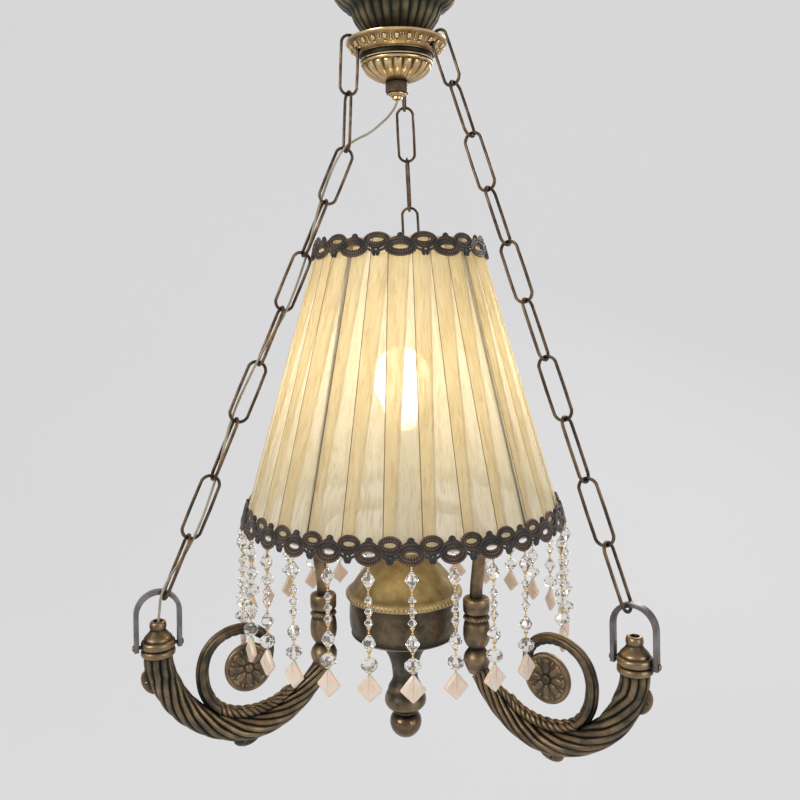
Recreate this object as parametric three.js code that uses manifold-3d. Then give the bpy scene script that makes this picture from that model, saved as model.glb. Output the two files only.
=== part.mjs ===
// Hanging chandelier: three cast scroll arms on chains round one bulb under a pleated shade.
// Millimetres, +Z up. The origin is the middle of the ceiling bracket's top face.
// Angles run round the vertical axis from the front (-Y) towards +X.

import * as THREE from 'three';
import { mergeVertices } from 'three/addons/utils/BufferGeometryUtils.js';
import Module from 'manifold-3d';

const wasm = await Module();
wasm.setup();

// Clearances
const SEAT_GAP = 0.3;
const LINK_GAP = 0.4;
const SHACKLE_PLAY = 1.2;
const THREAD_GAP = 0.3;

// Arms stand round the centre at these angles
const ARMS = [
  { name: 'right', angle: 60 },
  { name: 'left', angle: -60 },
  { name: 'back', angle: 180 },
];

// Ceiling bracket and the threaded tube that hangs from it
const YOKE_LENGTH = 92;
const YOKE_WIDTH = 20;
const YOKE_THICK = 2.5;
const YOKE_DROP = 22;
const YOKE_BRIDGE = 32;
const SCREW_SPACING = 70;
const SCREW_HOLE_RADIUS = 2.6;
const NIPPLE_RADIUS = 5.6;
const NIPPLE_BORE = 3;
const NIPPLE_END_Z = -126;

// Bell canopy
const CANOPY_RADIUS = 70;
const CANOPY_TOP_Z = -0.5;
const CANOPY_NECK_RADIUS = 30;
const CANOPY_NECK_Z = -62;
const CANOPY_WALL = 2;
const CANOPY_FLUTES = 28;
const FLUTE_DEPTH = 0.9;

// Crown: a dish whose rim carries the chains, and the domed boss under it
const RIM_RADIUS = 54;
const RIM_Z = -65.5;
const CROWN_WALL = 2.7;
const CROWN_FLOOR_RADIUS = 36;
const CROWN_FLOOR_Z = -84;
const CROWN_FLOOR_THICK = 2.5;
const CROWN_LOBES = 20;
const DOME_RADIUS = 36.5;
const DOME_BOTTOM_Z = -108;
const DOME_WALL = 2.2;
const NUT_FLATS = 23;
const NUT_HEIGHT = 11;

// Chain
const LINKS = 10;
const WIRE = 3.2;
const LINK_WIDTH = 22;
const LINK_FUSE = 0.9;
const HOOK_HOLE = 7.4;
const HOOK_DEPTH = 18;
const KINK_RADIUS = 58;
const KINK_Z = -183;

// Stirrup shackle on top of each arm
const STRIP_WIDTH = 6.5;
const STRIP_THICK = 3;
const SHACKLE_HALF = 19.2;
const SHACKLE_TOP_Z = -613;
const PIN_Z = -664;
const PIN_RADIUS = 1.8;
const FOOT_BELOW_PIN = 4;

// Cap that closes the horn
const HORN_RADIUS_FROM_AXIS = 254.5;
const HORN_TOP_Z = -673;
const COLLAR_RADIUS = 15.8;
const COLLAR_HEIGHT = 18;
const CAP_KNOB_TOP_Z = -641;

// Horn outline: distance from the axis, height and radius down its middle
const HORN = [
  [254.5, -673, 13.4],
  [254.5, -678, 13.5],
  [252, -689, 13.5],
  [246.2, -705, 13.3],
  [235.5, -723, 12.8],
  [217, -741, 12.2],
  [194, -754, 12],
  [170, -760, 12.1],
  [147, -756.5, 11.8],
  [125, -746, 11],
  [105.5, -729, 10],
  [93.5, -713, 9.4],
];
const HORN_FLUTES = 8;
const HORN_FLUTE_DEPTH = 0.8;
const HORN_RINGS = 11;
const HORN_TWIST = 150;

// Scroll that springs from the horn's upper side and curls to the rosette
const SCROLL = [
  [126, -731, 4.6],
  [139, -739.5, 5.2],
  [153, -744, 5.6],
  [168, -745.5, 5.8],
  [185, -743, 5.9],
  [199, -735.5, 5.9],
  [209.5, -722, 5.8],
  [214, -705, 5.7],
  [213, -689, 5.5],
  [206.3, -675, 5.3],
  [195, -665.8, 5.1],
  [180, -661.5, 5],
  [165, -663.3, 4.9],
  [153, -671, 4.6],
  [147, -683, 4.2],
  [147.5, -696, 3.8],
];
const SCROLL_RINGS = 16;
const ROSETTE_RADIUS = 23.5;
const ROSETTE_CENTRE = [168.5, -700.5];
const ROSETTE_THICK = 8.4;
const ROSETTE_PETALS = 8;

// Leaf knobs: distance from the axis and height, and how far each leaf turns down from level
const KNOB_PLACES = [
  [266, -698],
  [172, -774],
];
const KNOB_TURNS = [51.5198, 123.2152];
const KNOB_RADIUS = 7.5;

// Calyx that holds the neck tube
const CALYX_FROM_AXIS = 90.2;
const CALYX_TOP_Z = -639;
const NECK_RADIUS = 6.4;
const CALYX_LENGTH = 76;
const NECK_PATH = [
  [93.2, -608],
  [95.5, -587],
  [91.5, -567],
  [78, -555.5],
  [58, -554],
];

// Centre column
const HUB_RADIUS = 20;
const HUB_TOP_Z = -541;
const HUB_HEIGHT = 26;
const ROD_RADIUS = 5;
const COVER_RADIUS = 61;
const COVER_RIM_Z = -654;
const COVER_TOP_Z = -597;
const SHEET = 1.8;
const CUP_RADIUS = 58.5;
const CUP_FLOOR_Z = -692;
const NECK_Z = -740;
const KNOP_RADIUS = 22;
const KNOP_Z = -766;
const CUP_END_Z = -776;
const BALL_RADIUS = 17;
const FINIAL_HEIGHT = 28.7;
const COLUMN_END_Z = CUP_END_Z - SEAT_GAP - FINIAL_HEIGHT;
const ROD_BELOW_CUP = 9;

// Lamp holder and bulb
const HOLDER_RADIUS = 20;
const HOLDER_HEIGHT = 63.7;
const HOLDER_RIM_Z = HUB_TOP_Z + SEAT_GAP + HOLDER_HEIGHT;
const ROD_IN_HOLDER = 8;
const SOCKET_RADIUS = 14;
const SOCKET_DEPTH = 31;
const BULB_RADIUS = 30;
const BULB_ABOVE_HOLDER = 87;
const BULB_TOP_Z = HOLDER_RIM_Z + BULB_ABOVE_HOLDER;
const BULB_CAP_RADIUS = 13.3;

// Shade
const SHADE_TOP_Z = -278;
const SHADE_BOTTOM_Z = -563;
const SHADE_TOP_RADIUS = 86;
const SHADE_BOTTOM_RADIUS = 165;
const FABRIC = 1.2;
const PLEATS = 28;
const PLEAT_DEPTH = 1.1;
const FRAME_WIRE = 3.2;
const RIB_ANGLES = [-26, 52, 122, 193, 264];
const SPIDER_ANGLES = [0, 120, 240];
const SPIDER_Z = HOLDER_RIM_Z - 20;

// Braid round both edges of the shade
const BRAID_THICK = 2.6;
const TOP_BRAID_HEIGHT = 22;
const BOTTOM_BRAID_HEIGHT = 23;
const BRAID_CLEAR = 0.7;
const TOP_BRAID_RISE = 3;
const BRAID_OVERHANG = 8;
const SCALLOP_DEPTH = 2.4;
const TOP_SCALLOPS = 12;
const TOP_BRAID_TURN = 7.6;
const BOTTOM_SCALLOPS = 28;

// Crystal strands hang at the middle of each bottom scallop. None hangs where the right arm's
// scroll stands, and two hang a little aside to clear the other arms
const STRAND_TURN = -3.8;
const STRAND_LEFT_OUT = 5;
const STRAND_ASIDE = { 14: -1.7, 24: 0.7 };

// A strand's beads: height below the hook, half width
const STRAND_HOOK_RADIUS = 0.8;
const BEADS = [
  { top: 4.8, length: 14.7, radius: 6 },
  { top: 26.2, length: 8.4, radius: 3.8 },
  { top: 36, length: 8.4, radius: 3.8 },
  { top: 45.6, length: 8.4, radius: 4.1 },
  { top: 60.3, length: 14.7, radius: 6.2 },
  { top: 80.7, length: 11.4, radius: 7.4 },
];
const BEAD_SPACE = 3;
const KITE_TOP = 93.4;
const KITE_LENGTH = 25.6;
const KITE_WIDTH = 22;
const KITE_SHOULDER = 0.56;
const KITE_THICK = 6;

// Flex: leaves the threaded tube, joins the left chain and winds down through its links
const CORD_DIAMETER = 2.6;
const CORD_PLAY = 0.8;
const CORD_OFFSET = 3.9;
const CORD_STEPS = 56;

const brass = finish('brass', 0xa08040, 0.38, 0.9);
const bronze = finish('antique bronze', 0x4a3d28, 0.5, 0.85);
const steel = finish('dull steel', 0x6d675c, 0.45, 0.9);
const fabric = finish('cream fabric', 0xe9dcb8, 0.85, 0);
const braid = finish('grey braid', 0x4a4740, 0.8, 0.1);
const crystal = finish('clear crystal', 0xf2e3c8, 0.08, 0);
const opal = finish('opal glass', 0xfff4dc, 0.2, 0);
const holderBlack = finish('dark moulding', 0x2a2622, 0.5, 0);
const flexIvory = finish('ivory flex', 0xcdbf9a, 0.5, 0);

function finish(name, color, roughness, metalness) {
  const material = new THREE.MeshStandardMaterial({ color, roughness, metalness });
  material.name = name;
  return material;
}

function radians(degrees) {
  return (degrees * Math.PI) / 180;
}

// A point at an angle round the axis
function around(angle, radius, z) {
  const a = radians(angle);
  return new THREE.Vector3(radius * Math.sin(a), -radius * Math.cos(a), z);
}

// A point in an arm's own upright plane, which is XZ with +X away from the centre
function inPlane([fromAxis, z], side = 0) {
  return new THREE.Vector3(fromAxis, side, z);
}

// Merges shared corners, drops empty triangles and turns every face outwards
function solid(geometry) {
  geometry.deleteAttribute('normal');
  geometry.deleteAttribute('uv');
  const merged = mergeVertices(geometry, 1e-3);
  const from = merged.index.array;
  const place = merged.attributes.position;
  const [a, b, c] = [new THREE.Vector3(), new THREE.Vector3(), new THREE.Vector3()];
  const kept = [];
  let volume = 0;
  for (let i = 0; i < from.length; i += 3) {
    const [u, v, w] = [from[i], from[i + 1], from[i + 2]];
    if (u !== v && v !== w && w !== u) {
      kept.push(u, v, w);
      a.fromBufferAttribute(place, u);
      b.fromBufferAttribute(place, v);
      c.fromBufferAttribute(place, w);
      volume += a.dot(b.cross(c));
    }
  }
  if (volume < 0) {
    kept.reverse();
  }
  merged.setIndex(kept);
  return merged;
}

function toManifold(geometry) {
  const vertProperties = Float32Array.from(geometry.attributes.position.array);
  const triVerts = Uint32Array.from(geometry.index.array);
  return new wasm.Manifold(new wasm.Mesh({ numProp: 3, vertProperties, triVerts }));
}

function fromManifold(manifold) {
  const mesh = manifold.getMesh();
  const geometry = new THREE.BufferGeometry();
  const position = new THREE.BufferAttribute(Float32Array.from(mesh.vertProperties), 3);
  geometry.setAttribute('position', position);
  geometry.setIndex(Array.from(mesh.triVerts));
  return solid(geometry);
}

function join(parts) {
  return fromManifold(parts.map(toManifold).reduce((whole, part) => whole.add(part)));
}

function cut(base, tools) {
  return fromManifold(tools.map(toManifold).reduce((rest, tool) => rest.subtract(tool), toManifold(base)));
}

// Skins a row of rings with the same number of points, closed on itself or with flat ends
function loft(rings, loop = false) {
  const count = rings[0].length;
  const points = rings.flat();
  const index = [];
  const bands = loop ? rings.length : rings.length - 1;
  for (let i = 0; i < bands; i += 1) {
    const here = i * count;
    const next = ((i + 1) % rings.length) * count;
    for (let j = 0; j < count; j += 1) {
      const k = (j + 1) % count;
      index.push(here + j, here + k, next + k, here + j, next + k, next + j);
    }
  }
  if (!loop) {
    const last = (rings.length - 1) * count;
    for (let j = 1; j < count - 1; j += 1) {
      index.push(0, j + 1, j);
      index.push(last, last + j, last + j + 1);
    }
  }
  const geometry = new THREE.BufferGeometry().setFromPoints(points);
  geometry.setIndex(index);
  return solid(geometry);
}

// A turned shape from its outline, [radius, z], which closes on the axis or on itself
function turned(outline, points) {
  const profile = [...outline, outline[0]].map(([radius, z]) => new THREE.Vector2(radius, z));
  const geometry = new THREE.LatheGeometry(profile, points);
  geometry.rotateX(Math.PI / 2);
  return solid(geometry);
}

// The same with lobes, [radius, z, lobe depth]: every second point stands back by the depth
function lobed(outline, points) {
  const rings = outline.map(([radius, z, depth]) => {
    return Array.from({ length: points }, (_, j) => {
      const wave = j % 2 === 0 ? depth : -depth;
      return around((360 * j) / points, radius + wave, z);
    });
  });
  return loft(rings, true);
}

// A round bar along a curve that stays in an arm's plane; lobes swell its section
function planarBar(path, rings, sides, lobeDepth = 0, twist = () => 0) {
  const curve = new THREE.CatmullRomCurve3(path.map(([r, z, size]) => new THREE.Vector3(r, size, z)));
  const side = new THREE.Vector3(0, 1, 0);
  const stations = Array.from({ length: rings }, (_, i) => {
    const t = i / (rings - 1);
    const point = curve.getPointAt(t);
    const tangent = curve.getTangentAt(t).setY(0).normalize();
    const normal = new THREE.Vector3().crossVectors(side, tangent);
    const centre = new THREE.Vector3(point.x, 0, point.z);
    return Array.from({ length: sides }, (_, j) => {
      const turn = (2 * Math.PI * j) / sides + radians(twist(t));
      const radius = point.y + (j % 2 === 0 ? lobeDepth : -lobeDepth);
      const out = side.clone().multiplyScalar(Math.cos(turn) * radius);
      return centre.clone().add(out).addScaledVector(normal, Math.sin(turn) * radius);
    });
  });
  return loft(stations);
}

// A round bar through points, as one extrusion
function bar(points, radius, sides, steps) {
  const outline = new THREE.Shape(
    Array.from({ length: sides }, (_, j) => {
      const turn = (2 * Math.PI * j) / sides;
      return new THREE.Vector2(radius * Math.cos(turn), radius * Math.sin(turn));
    }),
  );
  const extrudePath = new THREE.CatmullRomCurve3(points);
  return solid(new THREE.ExtrudeGeometry(outline, { steps, extrudePath, bevelEnabled: false }));
}

function cylinder(radius, fromZ, toZ, sides) {
  const geometry = new THREE.CylinderGeometry(radius, radius, Math.abs(toZ - fromZ), sides);
  geometry.rotateX(Math.PI / 2);
  geometry.translate(0, 0, (fromZ + toZ) / 2);
  return solid(geometry);
}

// An outline in the XZ plane, extruded to both sides of it
function plate(outline, width) {
  const shape = new THREE.Shape(outline.map(([x, z]) => new THREE.Vector2(x, z)));
  const geometry = new THREE.ExtrudeGeometry(shape, { depth: width, bevelEnabled: false });
  geometry.translate(0, 0, -width / 2);
  geometry.rotateX(Math.PI / 2);
  return solid(geometry);
}

const lamp = new THREE.Group();

function add(parent, name, geometry, material) {
  const mesh = new THREE.Mesh(geometry, material);
  mesh.name = name;
  parent.add(mesh);
  return mesh;
}

// A group whose own XZ plane stands at an angle round the axis
function planeAt(angle) {
  const group = new THREE.Group();
  group.rotation.z = radians(angle - 90);
  lamp.add(group);
  return group;
}

// Ceiling bracket: a flat bar with a dropped bridge that the threaded tube passes
function ceilingYoke() {
  const half = YOKE_BRIDGE / 2;
  const flatBar = plate(
    [
      [-YOKE_LENGTH / 2, -YOKE_THICK],
      [YOKE_LENGTH / 2, -YOKE_THICK],
      [YOKE_LENGTH / 2, 0],
      [-YOKE_LENGTH / 2, 0],
    ],
    YOKE_WIDTH,
  );
  const bridge = plate(
    [
      [-half, -YOKE_THICK / 2],
      [-half, -YOKE_DROP],
      [half, -YOKE_DROP],
      [half, -YOKE_THICK / 2],
      [half - YOKE_THICK, -YOKE_THICK / 2],
      [half - YOKE_THICK, YOKE_THICK - YOKE_DROP],
      [YOKE_THICK - half, YOKE_THICK - YOKE_DROP],
      [YOKE_THICK - half, -YOKE_THICK / 2],
    ],
    YOKE_WIDTH - 2,
  );
  const hole = cylinder(NIPPLE_RADIUS + THREAD_GAP, -YOKE_DROP - 1, YOKE_THICK - YOKE_DROP + 1, 16);
  const screwHoles = [-1, 1].map((end) => {
    const screwHole = cylinder(SCREW_HOLE_RADIUS, -YOKE_THICK - 1, 1, 8);
    return screwHole.translate((end * SCREW_SPACING) / 2, 0, 0);
  });
  return cut(join([flatBar, bridge]), [hole, ...screwHoles]);
}

function crownNipple() {
  const top = YOKE_THICK - YOKE_DROP + 4;
  return cut(cylinder(NIPPLE_RADIUS, top, NIPPLE_END_Z, 16), [
    cylinder(NIPPLE_BORE, top + 1, NIPPLE_END_Z - 1, 10),
  ]);
}

function canopy() {
  const hole = NIPPLE_RADIUS + THREAD_GAP;
  const floor = CROWN_FLOOR_Z + SEAT_GAP;
  return lobed(
    [
      [CANOPY_RADIUS, CANOPY_TOP_Z, 0],
      [CANOPY_RADIUS - 8, -22, FLUTE_DEPTH],
      [48, -34, FLUTE_DEPTH],
      [37, -50, FLUTE_DEPTH],
      [CANOPY_NECK_RADIUS, CANOPY_NECK_Z, 0],
      [CANOPY_NECK_RADIUS - 9, floor, 0],
      [hole, floor, 0],
      [hole, floor + CANOPY_WALL, 0],
      [CANOPY_RADIUS - 3 * CANOPY_WALL, CANOPY_TOP_Z, 0],
    ],
    CANOPY_FLUTES * 2,
  );
}

// The route of a chain's middle line in its arm's plane, from the crown's lip to the shackle
const shackleArc = [HORN_RADIUS_FROM_AXIS, SHACKLE_TOP_Z - SHACKLE_HALF - STRIP_THICK / 2];
const lipTop = [RIM_RADIUS - CROWN_WALL / 2, RIM_Z];

function chainRoute(name) {
  const bends = name === 'left' ? [[KINK_RADIUS, KINK_Z]] : [];
  const points = [lipTop, ...bends, shackleArc].map((point) => inPlane(point));
  const last = points.length - 1;
  const start = points[0].clone().sub(points[1]).setLength(LINK_GAP + LINK_FUSE / 2);
  points[0].add(start);
  const opening = LINK_WIDTH / 2 - WIRE;
  const edgeLift = opening - Math.sqrt(opening ** 2 - (STRIP_WIDTH / 2) ** 2);
  const strip = SHACKLE_HALF - STRIP_THICK / 2 - edgeLift - SHACKLE_PLAY - LINK_FUSE / 2;
  const end = points[last - 1].clone().sub(points[last]).setLength(strip);
  points[last].add(end);
  return points;
}

// Evenly spaced joints of the links along the route
function linkJoints(name) {
  const path = new THREE.CurvePath();
  const route = chainRoute(name);
  for (let i = 0; i + 1 < route.length; i += 1) {
    path.add(new THREE.LineCurve3(route[i], route[i + 1]));
  }
  return Array.from({ length: LINKS + 1 }, (_, i) => path.getPointAt(i / LINKS));
}

// One long oval link between two joints; wide is the way its loop opens
function link(from, to, wide) {
  const along = to.clone().sub(from).normalize();
  const flat = new THREE.Vector3().crossVectors(along, wide);
  const bight = (LINK_WIDTH - WIRE) / 2;
  const steps = 4;
  const apex = bight * Math.cos(Math.PI / (steps - 1) / 2);
  const reach = (from.distanceTo(to) + WIRE - LINK_FUSE) / 2 - apex;
  const middle = from.clone().lerp(to, 0.5);
  const rings = [];
  [1, -1].forEach((end) => {
    for (let i = 0; i <= steps - 1; i += 1) {
      const turn = (Math.PI * i) / (steps - 1);
      const out = wide.clone().multiplyScalar(end * Math.cos(turn));
      out.addScaledVector(along, end * Math.sin(turn));
      const centre = middle.clone().addScaledVector(along, end * reach).addScaledVector(out, bight);
      rings.push(
        Array.from({ length: 4 }, (_, j) => {
          const turnRound = (2 * Math.PI * j) / 4;
          const point = centre.clone().addScaledVector(out, (-Math.cos(turnRound) * WIRE) / 2);
          return point.addScaledVector(flat, (Math.sin(turnRound) * WIRE) / 2);
        }),
      );
    }
  });
  return loft(rings, true);
}

function linkWide(joints, i) {
  const along = joints[i + 1].clone().sub(joints[i]).normalize();
  const side = new THREE.Vector3(0, 1, 0);
  return i % 2 === 0 ? new THREE.Vector3().crossVectors(side, along) : side;
}

function chain(name) {
  const joints = linkJoints(name);
  return join(
    Array.from({ length: LINKS }, (_, i) => link(joints[i], joints[i + 1], linkWide(joints, i))),
  );
}

// The hole that a chain's first link passes: drilled along its wire, where that meets the wall
function hookDrill(name) {
  const joints = linkJoints(name);
  const along = joints[1].clone().sub(joints[0]).normalize();
  const inward = new THREE.Vector3(0, 1, 0).cross(along);
  const bight = (LINK_WIDTH - WIRE) / 2;
  const centre = joints[0].clone().addScaledVector(along, bight - (WIRE - LINK_FUSE) / 2);
  const wall = new THREE.Line3(inPlane(lipTop), inPlane([RIM_RADIUS - 12, RIM_Z - 11.5]));
  const onWall = new THREE.Vector3();
  let nearest = { distance: Infinity };
  for (let turn = 20; turn <= 90; turn += 2) {
    const out = inward.clone().multiplyScalar(Math.sin(radians(turn)));
    out.addScaledVector(along, -Math.cos(radians(turn)));
    const point = centre.clone().addScaledVector(out, bight);
    const distance = point.distanceTo(wall.closestPointToPoint(point, false, onWall));
    if (distance < nearest.distance) {
      nearest = { distance, point, turn };
    }
  }
  const tangent = inward.clone().multiplyScalar(Math.cos(radians(nearest.turn)));
  tangent.addScaledVector(along, Math.sin(radians(nearest.turn)));
  const drill = new THREE.CylinderGeometry(HOOK_HOLE / 2, HOOK_HOLE / 2, HOOK_DEPTH, 10);
  const up = new THREE.Vector3(0, 1, 0);
  drill.applyQuaternion(new THREE.Quaternion().setFromUnitVectors(up, tangent));
  drill.translate(nearest.point.x, nearest.point.y, nearest.point.z);
  return solid(drill);
}

// Crown dish; its wall has a hole for the inner side of each chain's first link
function crownRing() {
  const bottom = CROWN_FLOOR_Z - CROWN_FLOOR_THICK;
  const hole = NIPPLE_RADIUS + THREAD_GAP;
  const dish = lobed(
    [
      [RIM_RADIUS, RIM_Z, 0],
      [RIM_RADIUS - 9.5, RIM_Z - 11, 0.8],
      [CROWN_FLOOR_RADIUS + 2, CROWN_FLOOR_Z + 1, 0.6],
      [CROWN_FLOOR_RADIUS, bottom, 0],
      [hole, bottom, 0],
      [hole, CROWN_FLOOR_Z, 0],
      [CROWN_FLOOR_RADIUS - 3, CROWN_FLOOR_Z, 0],
      [RIM_RADIUS - 11.4, RIM_Z - 9.5, 0],
      [RIM_RADIUS - CROWN_WALL, RIM_Z, 0],
    ],
    CROWN_LOBES * 2,
  );
  const holes = ARMS.map(({ name, angle }) => hookDrill(name).rotateZ(radians(angle - 90)));
  return cut(dish, holes);
}

function crownDome() {
  const top = CROWN_FLOOR_Z - CROWN_FLOOR_THICK - SEAT_GAP;
  const hole = NIPPLE_RADIUS + THREAD_GAP;
  return lobed(
    [
      [DOME_RADIUS - 3, top, 0],
      [DOME_RADIUS, top - 5.5, 0.5],
      [DOME_RADIUS - 3, top - 13, 1],
      [DOME_RADIUS - 14, top - 19, 1],
      [hole, DOME_BOTTOM_Z, 0],
      [hole, DOME_BOTTOM_Z + DOME_WALL, 0],
      [DOME_RADIUS - 6, top, 0],
    ],
    CROWN_LOBES * 2,
  );
}

function crownNut() {
  const top = DOME_BOTTOM_Z - SEAT_GAP;
  return cut(cylinder(NUT_FLATS / Math.sqrt(3), top, top - NUT_HEIGHT, 6), [
    cylinder(NIPPLE_RADIUS + THREAD_GAP, top + 1, top - NUT_HEIGHT - 1, 16),
  ]);
}

// Stirrup: a flat strip bent over the top, with a hole in each foot for the collar's pins
function shackle() {
  const outer = SHACKLE_HALF + STRIP_THICK / 2;
  const inner = SHACKLE_HALF - STRIP_THICK / 2;
  const foot = PIN_Z - FOOT_BELOW_PIN;
  const [fromAxis, arcZ] = shackleArc;
  const arc = (radius, reverse) => {
    const points = Array.from({ length: 11 }, (_, i) => {
      const turn = (Math.PI * i) / 10;
      return [fromAxis + radius * Math.cos(turn), arcZ + radius * Math.sin(turn)];
    });
    return reverse ? points.reverse() : points;
  };
  const strip = plate(
    [
      [fromAxis + outer, foot],
      ...arc(outer, false),
      [fromAxis - outer, foot],
      [fromAxis - inner, foot],
      ...arc(inner, true),
      [fromAxis + inner, foot],
    ],
    STRIP_WIDTH,
  );
  return cut(strip, [pin(PIN_RADIUS + SEAT_GAP, outer + 2)]);
}

// A bar through the collar, along the arm's plane
function pin(radius, reach) {
  const geometry = new THREE.CylinderGeometry(radius, radius, reach * 2, 10);
  geometry.rotateZ(Math.PI / 2);
  geometry.translate(HORN_RADIUS_FROM_AXIS, 0, PIN_Z);
  return solid(geometry);
}

// Stepped collar, cone and knob in one turned piece, with the pins that carry the shackle
function hornCap(name) {
  const base = HORN_TOP_Z + SEAT_GAP;
  const shoulder = base + COLLAR_HEIGHT;
  const cap = turned(
    [
      [0, base],
      [COLLAR_RADIUS, base],
      [COLLAR_RADIUS, base + 5],
      [COLLAR_RADIUS - 1.4, base + 6.5],
      [COLLAR_RADIUS, base + 8],
      [COLLAR_RADIUS, base + 13],
      [COLLAR_RADIUS - 3, shoulder],
      [3, CAP_KNOB_TOP_Z - 5.5],
      [4, CAP_KNOB_TOP_Z - 2.5],
      [3.4, CAP_KNOB_TOP_Z],
      [0, CAP_KNOB_TOP_Z],
    ],
    10,
  );
  cap.translate(HORN_RADIUS_FROM_AXIS, 0, 0);
  const whole = join([cap, pin(PIN_RADIUS, SHACKLE_HALF + STRIP_THICK / 2 + 0.8)]);
  if (name !== 'left') {
    return whole;
  }
  const bore = cylinder(CORD_DIAMETER / 2 + CORD_PLAY, CAP_KNOB_TOP_Z + 1, CAP_KNOB_TOP_Z - 9, 8);
  bore.translate(HORN_RADIUS_FROM_AXIS, 0, 0);
  return cut(whole, [bore]);
}

// Round medallion with petals on both faces, its axis square to the arm's plane
function rosette() {
  const half = ROSETTE_THICK / 2;
  const disc = lobed(
    [
      [0, half + 0.4, 0],
      [13, half, 0.8],
      [ROSETTE_RADIUS, half - 1.8, 0.6],
      [ROSETTE_RADIUS, 1.8 - half, 0.6],
      [13, -half, 0.8],
      [0, -half - 0.4, 0],
    ],
    ROSETTE_PETALS * 2,
  );
  disc.rotateX(Math.PI / 2);
  disc.translate(ROSETTE_CENTRE[0], 0, ROSETTE_CENTRE[1]);
  return disc;
}

// Small leaf on the horn's outer side
function leafKnob([fromAxis, z], i) {
  const leaf = new THREE.SphereGeometry(KNOB_RADIUS, 7, 4);
  leaf.scale(1, 0.75, 0.8);
  leaf.rotateY(radians(KNOB_TURNS[i]));
  leaf.translate(fromAxis, 0, z);
  return solid(leaf);
}

function calyx() {
  const top = CALYX_TOP_Z;
  const cup = turned(
    [
      [0, top],
      [13, top],
      [13, top - 16],
      [11.8, top - 18],
      [13.4, top - 20],
      [12.8, top - 28],
      [14, top - 40],
      [8, top - 50.5],
      [13.8, top - 60],
      [8, top - CALYX_LENGTH],
      [0, top - CALYX_LENGTH],
    ],
    10,
  );
  cup.translate(CALYX_FROM_AXIS, 0, 0);
  return cup;
}

// The cast arm: fluted horn, scroll, rosette, leaf knobs and calyx in one piece
function arm() {
  const twist = (t) => HORN_TWIST * Math.max(0, t - 0.15);
  const horn = planarBar(HORN, HORN_RINGS, HORN_FLUTES * 2, HORN_FLUTE_DEPTH, twist);
  const scroll = planarBar(SCROLL, SCROLL_RINGS, 5);
  return join([horn, scroll, rosette(), calyx(), ...KNOB_PLACES.map(leafKnob)]);
}

// Bent tube from the calyx up, over and into the hub's side
function neckTube() {
  const hubSide = HUB_RADIUS + SEAT_GAP;
  const hubMiddle = HUB_TOP_Z - HUB_HEIGHT / 2;
  const points = [
    [CALYX_FROM_AXIS, CALYX_TOP_Z + SEAT_GAP],
    [CALYX_FROM_AXIS, CALYX_TOP_Z + 7],
    ...NECK_PATH,
    [hubSide + 12, hubMiddle],
    [hubSide, hubMiddle],
  ].map((point) => inPlane(point));
  return bar(points, NECK_RADIUS, 8, 11);
}

// Threaded rod with the hub that takes the three tubes, as one turned piece
function centreRod() {
  const hubBottom = HUB_TOP_Z - HUB_HEIGHT;
  const rodTop = HOLDER_RIM_Z - HOLDER_HEIGHT + ROD_IN_HOLDER;
  return turned(
    [
      [0, rodTop],
      [ROD_RADIUS, rodTop],
      [ROD_RADIUS, HUB_TOP_Z],
      [HUB_RADIUS, HUB_TOP_Z],
      [HUB_RADIUS, hubBottom],
      [HUB_RADIUS - 7, hubBottom - 4],
      [HUB_RADIUS - 7, COVER_TOP_Z + SEAT_GAP],
      [ROD_RADIUS, COVER_TOP_Z + SEAT_GAP],
      [ROD_RADIUS, CUP_END_Z - ROD_BELOW_CUP],
      [0, CUP_END_Z - ROD_BELOW_CUP],
    ],
    12,
  );
}

function columnCover() {
  const bore = ROD_RADIUS + THREAD_GAP;
  return turned(
    [
      [bore, COVER_TOP_Z],
      [14, COVER_TOP_Z],
      [27, COVER_TOP_Z - 16],
      [46, COVER_TOP_Z - 33],
      [57, COVER_TOP_Z - 49],
      [COVER_RADIUS, COVER_TOP_Z - 52],
      [COVER_RADIUS, COVER_RIM_Z],
      [COVER_RADIUS - 3, COVER_RIM_Z],
      [48, COVER_TOP_Z - 40],
      [26, COVER_TOP_Z - 18],
      [bore, COVER_TOP_Z - SHEET - 2],
    ],
    20,
  );
}

// Drum, dished underside, waist and knop in one spinning, bored for the rod
function columnCup() {
  const top = COVER_RIM_Z - SEAT_GAP;
  const bore = ROD_RADIUS + THREAD_GAP;
  return turned(
    [
      [COVER_RADIUS - 3.5, top],
      [CUP_RADIUS - 1.5, top - 8],
      [CUP_RADIUS, top - 20],
      [CUP_RADIUS - 3, CUP_FLOOR_Z],
      [36, CUP_FLOOR_Z - 1.5],
      [25, CUP_FLOOR_Z - 11],
      [14.5, CUP_FLOOR_Z - 28],
      [10.5, NECK_Z],
      [KNOP_RADIUS - 1.5, KNOP_Z + 7],
      [KNOP_RADIUS, KNOP_Z],
      [KNOP_RADIUS - 3, KNOP_Z - 6],
      [14, CUP_END_Z],
      [bore, CUP_END_Z],
      [bore, CUP_FLOOR_Z + SHEET],
      [CUP_RADIUS - 5, CUP_FLOOR_Z + SHEET + 1],
      [CUP_RADIUS - SHEET, top - 20],
      [COVER_RADIUS - 3.5 - SHEET, top],
    ],
    18,
  );
}

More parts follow.
